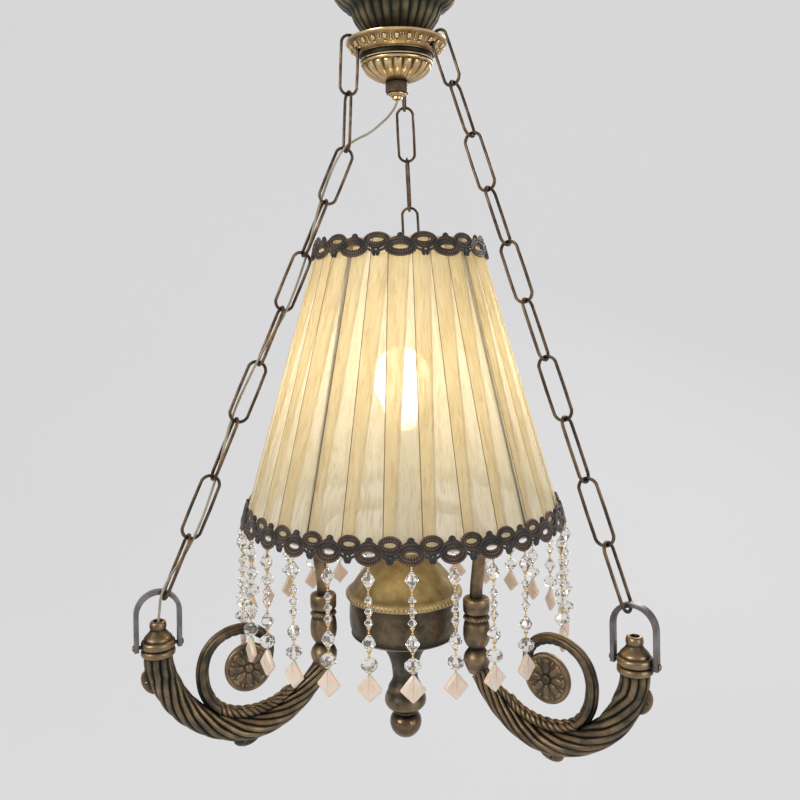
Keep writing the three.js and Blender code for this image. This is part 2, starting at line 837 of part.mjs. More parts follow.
// Ball finial, screwed up on the rod's end
function columnFinial() {
  const top = CUP_END_Z - SEAT_GAP;
  const bore = ROD_RADIUS + THREAD_GAP;
  const centre = COLUMN_END_Z + BALL_RADIUS;
  return turned(
    [
      [bore, top],
      [13, top],
      [12, top - 3],
      [BALL_RADIUS - 2.5, centre + 7],
      [BALL_RADIUS, centre + 1],
      [BALL_RADIUS - 1.5, centre - 6],
      [BALL_RADIUS - 7, COLUMN_END_Z + 3],
      [4, COLUMN_END_Z],
      [0, COLUMN_END_Z],
      [0, CUP_END_Z - ROD_BELOW_CUP - SEAT_GAP],
      [bore, CUP_END_Z - ROD_BELOW_CUP - SEAT_GAP],
    ],
    12,
  );
}

function lampHolder() {
  const base = HOLDER_RIM_Z - HOLDER_HEIGHT;
  const bore = ROD_RADIUS + THREAD_GAP;
  return turned(
    [
      [SOCKET_RADIUS, HOLDER_RIM_Z],
      [HOLDER_RADIUS, HOLDER_RIM_Z],
      [HOLDER_RADIUS, SPIDER_Z - 3],
      [HOLDER_RADIUS + 4, SPIDER_Z - 3],
      [HOLDER_RADIUS + 4, SPIDER_Z - 6],
      [HOLDER_RADIUS, SPIDER_Z - 8],
      [HOLDER_RADIUS, base + 14],
      [12, base + 2],
      [12, base + SEAT_GAP],
      [bore, base + SEAT_GAP],
      [bore, base + ROD_IN_HOLDER + 1],
      [0, base + ROD_IN_HOLDER + 1],
      [0, HOLDER_RIM_Z - SOCKET_DEPTH],
      [SOCKET_RADIUS, HOLDER_RIM_Z - SOCKET_DEPTH],
    ],
    12,
  );
}

// Ring screwed down on the shade frame's middle
function shadeRing() {
  const bottom = SPIDER_Z + FRAME_WIRE / 2 + SEAT_GAP;
  const inner = HOLDER_RADIUS + THREAD_GAP;
  return turned(
    [
      [inner, bottom],
      [inner + 6, bottom],
      [inner + 6, bottom + 4],
      [inner + 3.5, bottom + 6],
      [inner + 3.5, bottom + 9],
      [inner, bottom + 9],
    ],
    12,
  );
}

function bulb() {
  const centre = BULB_TOP_Z - BULB_RADIUS;
  const dome = Array.from({ length: 6 }, (_, i) => {
    const turn = radians(90 - 24 * i);
    return [BULB_RADIUS * Math.cos(turn), centre + BULB_RADIUS * Math.sin(turn)];
  });
  dome[0][0] = 0;
  return turned(
    [
      ...dome,
      [19.5, centre - 30],
      [16, centre - 42],
      [15, HOLDER_RIM_Z + 2],
      [BULB_CAP_RADIUS, HOLDER_RIM_Z + 1],
      [BULB_CAP_RADIUS, HOLDER_RIM_Z - 24],
      [5, HOLDER_RIM_Z - 28],
      [5, HOLDER_RIM_Z - SOCKET_DEPTH + SEAT_GAP],
      [0, HOLDER_RIM_Z - SOCKET_DEPTH + SEAT_GAP],
    ],
    12,
  );
}

// The shade's inner radius at a height
function shadeRadius(z) {
  const t = (z - SHADE_BOTTOM_Z) / (SHADE_TOP_Z - SHADE_BOTTOM_Z);
  return SHADE_BOTTOM_RADIUS + t * (SHADE_TOP_RADIUS - SHADE_BOTTOM_RADIUS);
}

function wireRing(radius, z, steps) {
  return solid(new THREE.TorusGeometry(radius, FRAME_WIRE / 2, 4, steps).translate(0, 0, z));
}

// Wire frame: top and bottom rings, ribs, and the spider that sits on the lamp holder
function shadeFrame() {
  const inset = FABRIC + PLEAT_DEPTH + SEAT_GAP + FRAME_WIRE / 2;
  const topZ = SHADE_TOP_Z - FRAME_WIRE / 2;
  const bottomZ = SHADE_BOTTOM_Z + FRAME_WIRE / 2;
  const top = shadeRadius(topZ) - inset;
  const bottom = shadeRadius(bottomZ) - inset;
  const straight = (from, to) => bar([from, from.clone().lerp(to, 0.5), to], FRAME_WIRE / 2, 4, 1);
  const ribs = RIB_ANGLES.map((angle) => straight(around(angle, top, topZ), around(angle, bottom, bottomZ)));
  const fitting = HOLDER_RADIUS + 2.4;
  const spider = SPIDER_ANGLES.map((angle) => {
    return straight(around(angle, fitting, SPIDER_Z), around(angle, bottom, bottomZ));
  });
  const centre = wireRing(fitting, SPIDER_Z, 12);
  return join([wireRing(top, topZ, 20), wireRing(bottom, bottomZ, 24), centre, ...ribs, ...spider]);
}

function shadeCover() {
  return lobed(
    [
      [SHADE_BOTTOM_RADIUS, SHADE_BOTTOM_Z, PLEAT_DEPTH / 2],
      [SHADE_TOP_RADIUS, SHADE_TOP_Z, PLEAT_DEPTH / 2],
      [SHADE_TOP_RADIUS - FABRIC - PLEAT_DEPTH / 2, SHADE_TOP_Z, 0],
      [SHADE_BOTTOM_RADIUS - FABRIC - PLEAT_DEPTH / 2, SHADE_BOTTOM_Z, 0],
    ],
    PLEATS * 2,
  );
}

// Braid band round the shade; both its edges are scalloped
function braidBand(topZ, height, scallops, pointsEach, turn) {
  const steps = scallops * pointsEach;
  const bottomZ = topZ - height;
  const lift = PLEAT_DEPTH / 2 + BRAID_CLEAR;
  const rings = Array.from({ length: steps }, (_, i) => {
    const angle = turn + (360 * i) / steps;
    const wave = SCALLOP_DEPTH * (0.5 - 0.5 * Math.cos((2 * Math.PI * i) / pointsEach));
    const high = topZ - wave;
    const low = bottomZ + wave;
    return [
      around(angle, shadeRadius(high) + lift, high),
      around(angle, shadeRadius(high) + lift + BRAID_THICK, high),
      around(angle, shadeRadius(low) + lift + BRAID_THICK, low),
      around(angle, shadeRadius(low) + lift, low),
    ];
  });
  return loft(rings, true);
}

// Where the strands hook on: the lowest points of the bottom braid
const bottomBraidTop = SHADE_BOTTOM_Z + BOTTOM_BRAID_HEIGHT - BRAID_OVERHANG;
const hookZ = bottomBraidTop - BOTTOM_BRAID_HEIGHT - SEAT_GAP;
const hookRadius = shadeRadius(hookZ) + PLEAT_DEPTH / 2 + BRAID_CLEAR + BRAID_THICK / 2;

// Four-sided section at a height below the hook
function beadRing(below, halfWidth, halfDeep = halfWidth) {
  return [
    new THREE.Vector3(0, -halfWidth, -below),
    new THREE.Vector3(halfDeep, 0, -below),
    new THREE.Vector3(0, halfWidth, -below),
    new THREE.Vector3(-halfDeep, 0, -below),
  ];
}

// Bicone beads on a wire over a flat kite drop, its face away from the centre
function strand() {
  const rings = [beadRing(0, STRAND_HOOK_RADIUS)];
  let bottom = 0;
  BEADS.forEach(({ top, length, radius }) => {
    if (top - bottom > BEAD_SPACE) {
      rings.push(beadRing(top, STRAND_HOOK_RADIUS));
    }
    bottom = top + length;
    rings.push(beadRing(top + length / 2, radius));
    rings.push(beadRing(bottom + 0.6, STRAND_HOOK_RADIUS));
  });
  rings.push(beadRing(KITE_TOP + KITE_LENGTH * KITE_SHOULDER, KITE_WIDTH / 2, KITE_THICK / 2));
  rings.push(beadRing(KITE_TOP + KITE_LENGTH, STRAND_HOOK_RADIUS));
  return loft(rings);
}

// Flex: straight out of the threaded tube, across to the left chain, then from one
// corner between two links to the next, so that it passes through each link in turn
function cordPoints() {
  const joints = linkJoints('left');
  const e = CORD_OFFSET;
  const corners = [
    [-1, 1],
    [-1, -1],
    [1, -1],
    [1, 1],
  ];
  const first = 2;
  const threaded = joints.slice(first, LINKS).map((joint, i) => {
    const along = joints[first + i + 1].clone().sub(joints[first + i - 1]).normalize();
    const side = new THREE.Vector3(0, 1, 0);
    const out = new THREE.Vector3().crossVectors(along, side);
    const [inOut, leftRight] = corners[i % corners.length];
    return joint.clone().addScaledVector(out, -inOut * e).addScaledVector(side, leftRight * e);
  });
  const knob = [HORN_RADIUS_FROM_AXIS, CAP_KNOB_TOP_Z];
  const besideStrip = STRIP_WIDTH / 2 + CORD_DIAMETER / 2 + 0.5;
  return [
    inPlane([0, NIPPLE_END_Z + 14]),
    inPlane([0, NIPPLE_END_Z + 4]),
    inPlane([1.2, NIPPLE_END_Z - 6]),
    inPlane([11, NIPPLE_END_Z - 19], 1),
    inPlane([33, NIPPLE_END_Z - 38], 3),
    ...threaded,
    inPlane([shackleArc[0] - 4, SHACKLE_TOP_Z + 1], besideStrip),
    inPlane([shackleArc[0] - 2.5, SHACKLE_TOP_Z - 10], besideStrip * 0.9),
    inPlane([knob[0] - 0.8, knob[1] + 7], besideStrip * 0.4),
    inPlane([knob[0], knob[1] + 1]),
    inPlane([knob[0], knob[1] - 7]),
  ];
}

add(lamp, 'ceiling_yoke', ceilingYoke(), steel);
add(lamp, 'canopy', canopy(), bronze);
add(lamp, 'crown_ring', crownRing(), brass);
add(lamp, 'crown_dome', crownDome(), brass);
add(lamp, 'crown_nipple', crownNipple(), brass);
add(lamp, 'crown_nut', crownNut(), brass);

ARMS.forEach(({ name, angle }) => {
  const group = planeAt(angle);
  add(group, `chain_${name}`, chain(name), bronze);
  add(group, `shackle_${name}`, shackle(), steel);
  add(group, `horn_cap_${name}`, hornCap(name), bronze);
  add(group, `arm_${name}`, arm(), bronze);
  add(group, `neck_tube_${name}`, neckTube(), bronze);
  if (name === 'left') {
    add(group, 'cord', bar(cordPoints(), CORD_DIAMETER / 2, 6, CORD_STEPS), flexIvory);
  }
});

add(lamp, 'centre_rod', centreRod(), steel);
add(lamp, 'column_cover', columnCover(), brass);
add(lamp, 'column_cup', columnCup(), bronze);
add(lamp, 'column_finial', columnFinial(), bronze);
add(lamp, 'lamp_holder', lampHolder(), holderBlack);
add(lamp, 'shade_ring', shadeRing(), holderBlack);
add(lamp, 'bulb', bulb(), opal);
add(lamp, 'shade_frame', shadeFrame(), steel);
add(lamp, 'shade_cover', shadeCover(), fabric);
const topBraid = braidBand(SHADE_TOP_Z + TOP_BRAID_RISE, TOP_BRAID_HEIGHT, TOP_SCALLOPS, 3, TOP_BRAID_TURN);
const bottomBraid = braidBand(bottomBraidTop, BOTTOM_BRAID_HEIGHT, BOTTOM_SCALLOPS, 3, STRAND_TURN);
add(lamp, 'trim_top', topBraid, braid);
add(lamp, 'trim_bottom', bottomBraid, braid);

const strandPlaces = Array.from({ length: BOTTOM_SCALLOPS }, (_, i) => i).filter((i) => i !== STRAND_LEFT_OUT);
strandPlaces.forEach((place, i) => {
  const angle = STRAND_TURN + (360 * place) / BOTTOM_SCALLOPS + (STRAND_ASIDE[place] ?? 0);
  const mesh = add(lamp, `strand_${String(i + 1).padStart(2, '0')}`, strand(), crystal);
  mesh.position.copy(around(angle, hookRadius, hookZ));
  mesh.rotation.z = radians(angle - 90);
});

export default lamp;
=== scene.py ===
import bmesh
import bpy
import math
import random
from mathutils import Matrix, Vector
from mathutils.kdtree import KDTree


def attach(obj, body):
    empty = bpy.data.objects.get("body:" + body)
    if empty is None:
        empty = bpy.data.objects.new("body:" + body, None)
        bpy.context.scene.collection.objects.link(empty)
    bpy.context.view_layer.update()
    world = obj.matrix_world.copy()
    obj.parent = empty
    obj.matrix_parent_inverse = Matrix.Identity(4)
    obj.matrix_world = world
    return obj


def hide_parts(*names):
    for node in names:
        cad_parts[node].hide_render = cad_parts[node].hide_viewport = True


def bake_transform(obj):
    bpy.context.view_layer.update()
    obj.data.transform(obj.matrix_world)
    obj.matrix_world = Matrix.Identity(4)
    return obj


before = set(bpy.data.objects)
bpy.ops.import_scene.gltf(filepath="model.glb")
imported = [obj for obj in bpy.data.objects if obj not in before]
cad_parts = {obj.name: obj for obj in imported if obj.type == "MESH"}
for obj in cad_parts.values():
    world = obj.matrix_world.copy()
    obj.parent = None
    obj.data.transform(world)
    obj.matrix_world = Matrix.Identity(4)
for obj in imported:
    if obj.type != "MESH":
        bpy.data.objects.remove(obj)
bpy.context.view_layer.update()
bpy.ops.object.select_all(action="DESELECT")
scene = bpy.context.scene
scene.view_settings.view_transform = "Standard"


# Camera: held level with the upper half of the shade, 0.9 m in front of the lamp and a little to
# its right. The frame is shifted down, so that the canopy is cut by its upper edge.
EYE_ANGLE = math.radians(6.75)
EYE_DISTANCE, EYE_Z = 0.902, -0.343
HELD_ASKEW = math.radians(0.8)
LENS, FRAME_SHIFT = 38.025, -0.1214
bpy.ops.object.camera_add(
    location=(EYE_DISTANCE * math.sin(EYE_ANGLE), -EYE_DISTANCE * math.cos(EYE_ANGLE), EYE_Z),
    rotation=(math.pi / 2, HELD_ASKEW, EYE_ANGLE),
)
camera = bpy.context.object
camera.name = "camera"
camera.data.lens = LENS
camera.data.shift_y = FRAME_SHIFT
scene.camera = camera


# Flex: a thin ivory plastic lead. It drops out of the threaded tube, crosses to the left chain,
# is threaded down through its links and goes into the knob on the left horn.
FLEX_DIAMETER = 0.0026
FLEX_ROUTE = [
    (0, 0, -112), (0, 0, -121), (-0.3, -0.1, -128.5), (-7.1, -5, -142.5), (-16.7, -11.9, -153.9),
    (-27.3, -19.3, -164.2), (-39.4, -27.3, -172.2), (-51, -34, -181.6), (-59.6, -37, -195.4),
    (-66.4, -37.9, -210.4), (-72.3, -38.5, -225.9), (-77.7, -40, -241.4), (-81.9, -41.7, -257.3),
    (-85.5, -43.8, -273.3), (-89.1, -46.6, -289.2), (-93.3, -50.6, -304.6), (-97.4, -55.9, -319.8),
    (-102, -61.4, -334.6), (-107.4, -66.6, -349.4), (-114.2, -71.4, -363.6), (-121.9, -76, -377.6),
    (-129.6, -79.9, -391.6), (-136.9, -82.8, -406.1), (-144.1, -84.4, -420.9), (-151, -85.4, -435.9),
    (-157.2, -86.6, -451.2), (-162.1, -88.3, -466.9), (-166, -90.2, -482.8), (-169.5, -92.5, -498.8),
    (-173.4, -95.8, -514.5), (-177.5, -100.4, -529.8), (-181.8, -105.8, -544.9),
    (-186.7, -111.4, -559.6), (-193, -116.5, -574), (-200.8, -121.7, -587.6),
    (-209.1, -126.6, -601.1), (-215.3, -130.1, -615.8), (-218.2, -128.9, -632), (-220.4, -127.2, -648),
]


def only(piece):
    """Selects one piece and nothing else."""
    bpy.ops.object.select_all(action="DESELECT")
    piece.select_set(True)
    bpy.context.view_layer.objects.active = piece


def swept(name, points, radius, sides=10, steps=6, closed=False, sizes=None, turns=None, section=None):
    """A bar along a smooth curve through points, in metres. Sizes scale its section, turns twist it.
    Its UV is the way along it in metres, and the turn round it."""
    line = bpy.data.curves.new(name, "CURVE")
    line.dimensions = "3D"
    line.resolution_u = steps
    line.twist_mode = "MINIMUM"
    spline = line.splines.new("BEZIER")
    spline.bezier_points.add(len(points) - 1)
    for i, point in enumerate(points):
        knot = spline.bezier_points[i]
        knot.co = point
        knot.handle_left_type = knot.handle_right_type = "AUTO"
        knot.radius = sizes[i] if sizes else 1
        knot.tilt = turns[i] if turns else 0
    spline.use_cyclic_u = closed
    line.use_fill_caps = not closed
    if section:
        line.bevel_mode = "OBJECT"
        line.bevel_object = section
    elif radius:
        line.bevel_depth = radius
        line.bevel_resolution = (sides - 4) // 2
    length = spline.calc_length()
    bar = bpy.data.objects.new(name, line)
    scene.collection.objects.link(bar)
    only(bar)
    bpy.ops.object.convert(target="MESH")
    bar = bpy.context.object
    for layer in bar.data.uv_layers:
        for corner in layer.data:
            corner.uv.x *= length
    return bar


def put(tree, kind, sockets=None, **settings):
    """Adds a node. A socket takes a value, or the output of another node."""
    made = tree.nodes.new(kind)
    for setting, value in settings.items():
        setattr(made, setting, value)
    for socket, value in (sockets or {}).items():
        if isinstance(value, bpy.types.NodeSocket):
            tree.links.new(value, made.inputs[socket])
        else:
            made.inputs[socket].default_value = value
    return made


def ramp(tree, factor, stops):
    """A colour ramp over factor; stops are (place, (r, g, b))."""
    made = put(tree, "ShaderNodeValToRGB", {"Fac": factor})
    while len(made.color_ramp.elements) < len(stops):
        made.color_ramp.elements.new(0.5)
    for element, (place, colour) in zip(made.color_ramp.elements, stops):
        element.position = place
        element.color = (*colour, 1)
    return made.outputs["Color"]


def blank(name, values):
    """A new material with values on its Principled shader. Returns it, its tree, the shader, and
    the place on the object that its patterns read."""
    made = bpy.data.materials.new(name)
    made.use_nodes = True
    tree = made.node_tree
    skin = tree.nodes["Principled BSDF"]
    for socket, value in values.items():
        skin.inputs[socket].default_value = value
    return made, tree, skin, put(tree, "ShaderNodeTexCoord").outputs["Object"]


def noise(tree, at, scale, detail, **more):
    """The strength of a cloudy pattern at a place."""
    sockets = {"Vector": at, "Scale": scale, "Detail": detail, **more}
    return put(tree, "ShaderNodeTexNoise", sockets).outputs["Fac"]


def bump(tree, height, strength, distance, over=None):
    """The tilt that a fine relief gives a surface, on top of a coarser one."""
    sockets = {"Height": height, "Strength": strength, "Distance": distance}
    if over is not None:
        sockets["Normal"] = over
    return put(tree, "ShaderNodeBump", sockets).outputs["Normal"]


def finish(tree, skin, colour, relief=None):
    """Gives a shader its colour, and its relief if it has one."""
    tree.links.new(colour, skin.inputs["Base Color"])
    if relief is not None:
        tree.links.new(relief, skin.inputs["Normal"])


def dress(piece, *materials):
    """Gives a piece its materials, in place of any that it has."""
    piece.data.materials.clear()
    for one in materials:
        piece.data.materials.append(one)
    return piece


flex_points = [Vector(point) / 1000 for point in FLEX_ROUTE]
flex = swept("flex", flex_points, FLEX_DIAMETER / 2, 8, 5)
flex_line = swept("flex_line", flex_points, 0, steps=5)
bpy.data.objects.remove(flex_line)

flex_ivory, tree, skin, place = blank(
    "flex_ivory", {"Roughness": 0.36, "Subsurface Weight": 0.15, "Subsurface Scale": 0.001},
)
grime = noise(tree, place, 34.0, 5.0)
ivory = ramp(tree, grime, [(0.3, (0.30, 0.255, 0.17)), (0.7, (0.47, 0.41, 0.29))])
finish(tree, skin, ivory, bump(tree, noise(tree, place, 500.0, 2.0), 0.15, 0.0002))
dress(flex, flex_ivory)
only(flex)
bpy.ops.object.shade_smooth()
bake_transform(flex)
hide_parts("cord")


# Room: a pale floor that runs up into a pale wall behind the chandelier, with a large soft lamp on
# each side of it and a third one behind. They aren't part of the object.
FLOOR_Z = -1.15
WALL_TALL, CORNER_WIDE = 4.5, 1.6


def pull_up(rise):
    """Extrudes what is selected straight up."""
    bpy.ops.mesh.extrude_region_move(TRANSFORM_OT_translate={"value": (0, 0, rise)})


def modify(piece, kind, **settings):
    """Adds a modifier to a piece and applies it."""
    only(piece)
    made = piece.modifiers.new(kind.lower(), kind)
    for setting, value in settings.items():
        setattr(made, setting, value)
    bpy.ops.object.modifier_apply(modifier=made.name)


def reckon(tree, operation, *values, **settings):
    """A sum of numbers and other nodes' outputs."""
    return put(tree, "ShaderNodeMath", dict(enumerate(values)), operation=operation, **settings).outputs[0]


bpy.ops.mesh.primitive_plane_add(size=1, location=(0, 0, FLOOR_Z))
floor = bpy.context.object
floor.name = "floor"
bpy.ops.object.mode_set(mode="EDIT")
bpy.ops.transform.resize(value=(9, 6, 1), center_override=(0, 0, FLOOR_Z))
bpy.ops.mesh.select_all(action="DESELECT")
net = bmesh.from_edit_mesh(floor.data)
for edge in net.edges:
    edge.select_set(all(vertex.co.y > 0.1 for vertex in edge.verts))
net.select_flush_mode()
bmesh.update_edit_mesh(floor.data)
pull_up(WALL_TALL)
bpy.ops.object.mode_set(mode="OBJECT")
modify(floor, "BEVEL", width=CORNER_WIDE, segments=16)
bpy.ops.object.shade_smooth()
pale, tree, skin, place = blank("pale_paper", {"Roughness": 0.9})
tone = noise(tree, place, 2.0, 3.0)
finish(tree, skin, ramp(tree, tone, [(0.3, (0.72, 0.72, 0.73)), (0.7, (0.75, 0.75, 0.76))]))
rays = put(tree, "ShaderNodeLightPath").outputs
direct = reckon(tree, "MAXIMUM", rays["Is Camera Ray"], rays["Is Transmission Ray"])
direct = reckon(tree, "MAXIMUM", direct, rays["Is Glossy Ray"])
evened = reckon(tree, "MULTIPLY", direct, 0.8)
even_tone = put(tree, "ShaderNodeEmission", {"Color": (0.74, 0.74, 0.75, 1), "Strength": 1.0})
paper = put(tree, "ShaderNodeMixShader", {"Fac": evened, 1: skin.outputs[0], 2: even_tone.outputs[0]})
tree.links.new(paper.outputs[0], tree.nodes["Material Output"].inputs["Surface"])
dress(floor, pale)

world = bpy.data.worlds.new("room")
scene.world = world
world.use_nodes = True
air = world.node_tree
dim = air.nodes["Background"]
dim.inputs["Color"].default_value = (0.80, 0.80, 0.82, 1)
dim.inputs["Strength"].default_value = 0.55
seen = put(air, "ShaderNodeBackground", {"Color": (0.78, 0.78, 0.79, 1), "Strength": 1.0})
rays = put(air, "ShaderNodeLightPath").outputs
direct = reckon(air, "MAXIMUM", rays["Is Camera Ray"], rays["Is Transmission Ray"])
both = put(air, "ShaderNodeMixShader", {"Fac": direct, 1: dim.outputs[0], 2: seen.outputs[0]})
air.links.new(both.outputs[0], air.nodes["World Output"].inputs["Surface"])


def soft_lamp(name, place, size, power, tint):
    """A square soft light that faces the middle of the lamp."""
    bpy.ops.object.light_add(type="AREA", location=place)
    light = bpy.context.object
    light.name = name
    light.data.size = size
    light.data.energy = power
    light.data.color = tint
    light.rotation_euler = (Vector((0, 0, -0.45)) - Vector(place)).to_track_quat("-Z", "Y").to_euler()


soft_lamp("key_lamp", (-1.7, -1.9, 0.7), 1.3, 34, (1, 0.98, 0.95))
soft_lamp("fill_lamp", (2.1, -1.3, -0.1), 1.5, 16, (0.93, 0.96, 1))
soft_lamp("rim_lamp", (0.9, 2.0, 0.7), 1.2, 22, (1, 0.98, 0.95))


# Canopy: a spun and fluted steel bell in dark olive bronze, which hides the ceiling bracket. It is
# held up by the crown under it. Gold shows where hands and cloths have rubbed its ridges.
CANOPY = [
    (70, -0.8), (69.4, -7), (67, -15), (62, -22), (57, -27.2), (50.5, -30.5), (47.8, -34),
    (44.5, -43), (38.5, -51.5), (32, -58.5), (29.6, -62), (21.5, -83.5), (6, -83.6),
]
CANOPY_FLUTES = 28
CANOPY_SHEET = 0.0012


def begin(name):
    """An empty mesh at the origin, open for editing."""
    bpy.ops.object.select_all(action="DESELECT")
    bpy.ops.object.add(type="MESH", enter_editmode=True, location=(0, 0, 0))
    piece = bpy.context.object
    piece.name = piece.data.name = name
    return piece


def select_where(test):
    """Selects the corners that pass a test on their place, and the edges and faces between them."""
    mesh = bpy.context.object.data
    net = bmesh.from_edit_mesh(mesh)
    bpy.ops.mesh.select_mode(type="VERT")
    for corner in net.verts:
        corner.select_set(bool(test(corner.co)))
    net.select_flush(True)
    bmesh.update_edit_mesh(mesh)


def turn_profile(outline, sides):
    """A ring at the first [radius, height] in millimetres, pushed on and scaled to each next one."""
    radius, height = outline[0]
    bpy.ops.mesh.primitive_circle_add(vertices=sides, radius=radius / 1000, location=(0, 0, height / 1000))
    for next_radius, next_height in outline[1:]:
        pull_up((next_height - height) / 1000)
        if next_radius != radius:
            grow = next_radius / radius
            bpy.ops.transform.resize(value=(grow, grow, 1), center_override=(0, 0, next_height / 1000))
        radius, height = next_radius, next_height


def smooth(piece, angle):
    """Shades a piece smooth, but keeps the edges that are sharper than an angle in degrees."""
    only(piece)
    bpy.ops.object.shade_smooth_by_angle(angle=math.radians(angle))


def close_up(angle):
    """Ends the editing: doubles merged, faces outwards, sharp edges kept."""
    bpy.ops.mesh.select_all(action="SELECT")
    bpy.ops.mesh.remove_doubles(threshold=0.00001)
    bpy.ops.mesh.normals_make_consistent(inside=False)
    bpy.ops.object.mode_set(mode="OBJECT")
    smooth(bpy.context.object, angle)


def flute(count, low, high, waves):
    """Moves every corner of a flute in or out by its wave, a share of its radius."""
    sides = count * len(waves)
    for step, wave in enumerate(waves):
        select_where(
            lambda co: low < co.z * 1000 < high
            and round(math.atan2(co.x, co.y) * sides / (2 * math.pi)) % len(waves) == step
        )
        bpy.ops.transform.resize(value=(1 + wave, 1 + wave, 1), center_override=(0, 0, 0))


def between(tree, value, low, high, to_low=0.0, to_high=1.0):
    """A value whose range from low to high is drawn out to another range."""
    sockets = {"Value": value, "From Min": low, "From Max": high, "To Min": to_low, "To Max": to_high}
    return put(tree, "ShaderNodeMapRange", sockets).outputs["Result"]


def mixed(tree, share, one, other):
    """One colour that goes over into another."""
    sockets = {"Factor": share, "A": one, "B": other}
    return put(tree, "ShaderNodeMix", sockets, data_type="RGBA").outputs["Result"]


def patina(name, hollow, plain, rubbed, rough, grain=0.25, metal=0.9, spread=1.0, lit_top=None):
    """Cast or spun metal: a dark wash and painted shade in its hollows, rubbed bright on its ridges.
    Lit top, if given, is painted on the faces that look up, as painted light from above."""
    made, tree, skin, place = blank(name, {"Metallic": metal})
    cloud = noise(tree, place, 55.0, 7.0, Roughness=0.6)
    speck = noise(tree, place, 420.0, 4.0)
    ridge = put(tree, "ShaderNodeNewGeometry").outputs["Pointiness"]
    # Ambient occlusion: painted shade in the hollows, on top of the dark wash that the metal has there.
    dark_wash_and_shade = put(tree, "ShaderNodeAmbientOcclusion", {"Distance": 0.009}, samples=6).outputs["AO"]
    wear = reckon(tree, "MULTIPLY_ADD", reckon(tree, "ADD", ridge, -0.5), 7.0 * spread, 0.46)
    blot = reckon(tree, "MULTIPLY_ADD", cloud, 0.9, -0.45)
    wear = reckon(tree, "ADD", wear, blot, use_clamp=True)
    shown = reckon(tree, "MULTIPLY", wear, reckon(tree, "POWER", dark_wash_and_shade, 2.0))
    colour = ramp(tree, shown, [(0.08, hollow), (0.46, plain), (0.82, rubbed)])
    # Painted light: the faces that look up are mixed towards the lighter top colour, as if lit from above.
    if lit_top:
        upward = put(tree, "ShaderNodeTexCoord").outputs["Normal"]
        upward = put(tree, "ShaderNodeSeparateXYZ", {"Vector": upward}).outputs["Z"]
        painted_light_share = between(tree, reckon(tree, "MULTIPLY_ADD", cloud, 1.2, upward), 0.45, 1.3)
        lit_top_colour = ramp(tree, shown, [(0.08, hollow), (0.46, lit_top), (0.82, rubbed)])
        colour = mixed(tree, painted_light_share, colour, lit_top_colour)
    finish(tree, skin, colour, bump(tree, speck, grain, 0.0004))
    tree.links.new(between(tree, shown, 0.0, 1.0, rough + 0.2, rough - 0.08), skin.inputs["Roughness"])
    return made


olive_bronze = patina("olive_bronze", (0.016, 0.016, 0.011), (0.058, 0.056, 0.037), (0.27, 0.20, 0.10), 0.40)
canopy = begin("canopy_bell")
turn_profile(CANOPY, CANOPY_FLUTES * 6)
flute(CANOPY_FLUTES, -60, -14, (-0.030, -0.004, 0.010, 0.014, 0.010, -0.004))
close_up(50)
modify(canopy, "SOLIDIFY", thickness=CANOPY_SHEET, offset=-1)
smooth(canopy, 50)
dress(canopy, olive_bronze)
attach(canopy, "root")
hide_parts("canopy")


# Crown dish: cast yellow brass with an egg and dart border. Its thin rolled lip has three holes,
# one for each chain. The groove by the dome is dark bronze, painted shade. It is clamped under the canopy.
CROWN = [
    (52.2, -65.4), (53.4, -65), (54.3, -65.5), (54.4, -66.4), (53.5, -67.3), (52, -68.2), (50.2, -70.2),
    (48, -73), (45.2, -76), (42.2, -78.2), (40.2, -79), (39.8, -80), (37.9, -80.6), (37.6, -82),
    (37.7, -84), (38.6, -84.6), (39.2, -85.6), (38.6, -86.5), (6.2, -86.6), (6.2, -84.1), (33, -84),
    (40.4, -76), (46, -70.6), (50.6, -66.4), (52.2, -65.4),
]
CROWN_PARTS = 12
CHAIN_HOLES = {60: (45.4, -73.3, 19.6), -60: (43.7, -75.2, 2.6), 180: (45.4, -73.3, 19.6)}
CHAIN_HOLE_RADIUS = 0.0031


def drill(piece, radius, valley_shade, place, turned):
    """Bores a round hole through a piece, in metres."""
    bpy.ops.mesh.primitive_cylinder_add(
        vertices=20, radius=radius, depth=valley_shade, location=place, rotation=turned,
    )
    bit = bpy.context.object
    modify(piece, "BOOLEAN", operation="DIFFERENCE", object=bit)
    bpy.data.objects.remove(bit)


gilt_brass = patina(
    "gilt_brass", (0.05, 0.032, 0.014), (0.38, 0.24, 0.10), (0.84, 0.63, 0.34), 0.28, 0.16, 0.95,
)
dark_bronze = patina("dark_bronze", (0.018, 0.016, 0.012), (0.072, 0.064, 0.046), (0.30, 0.21, 0.12), 0.38)
crown = begin("crown_dish")
turn_profile(CROWN, 120)
close_up(40)
for angle, (from_axis, height, lean) in CHAIN_HOLES.items():
    out = math.radians(angle)
    mouth = (from_axis / 1000 * math.sin(out), -from_axis / 1000 * math.cos(out), height / 1000)
    drill(crown, CHAIN_HOLE_RADIUS, 0.02, mouth, (0, math.radians(-lean), out - math.pi / 2))
smooth(crown, 40)
dress(crown, gilt_brass, dark_bronze)
# Painted shade: the faces in the groove between the dish and the dome get the dark bronze.
for face in crown.data.polygons:
    painted_shade_groove = 0.0366 < face.center.xy.length < 0.0401 and -0.0848 < face.center.z < -0.0797
    face.material_index = 1 if painted_shade_groove else 0
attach(crown, "root")
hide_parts("crown_ring")


# Egg and dart on the dish: a leaf rib between each two groups, an egg on each side of it, and
# a dart that hangs in a horseshoe. They are cast with the dish and rub bright.
EGG_STEP = 7.4
DART_AT = 15
FACE_LEAN = 44


def around(turn, radius, height):
    """A point on a ring about the lamp's axis, turned from its front."""
    return Vector((radius * math.sin(turn), -radius * math.cos(turn), height))


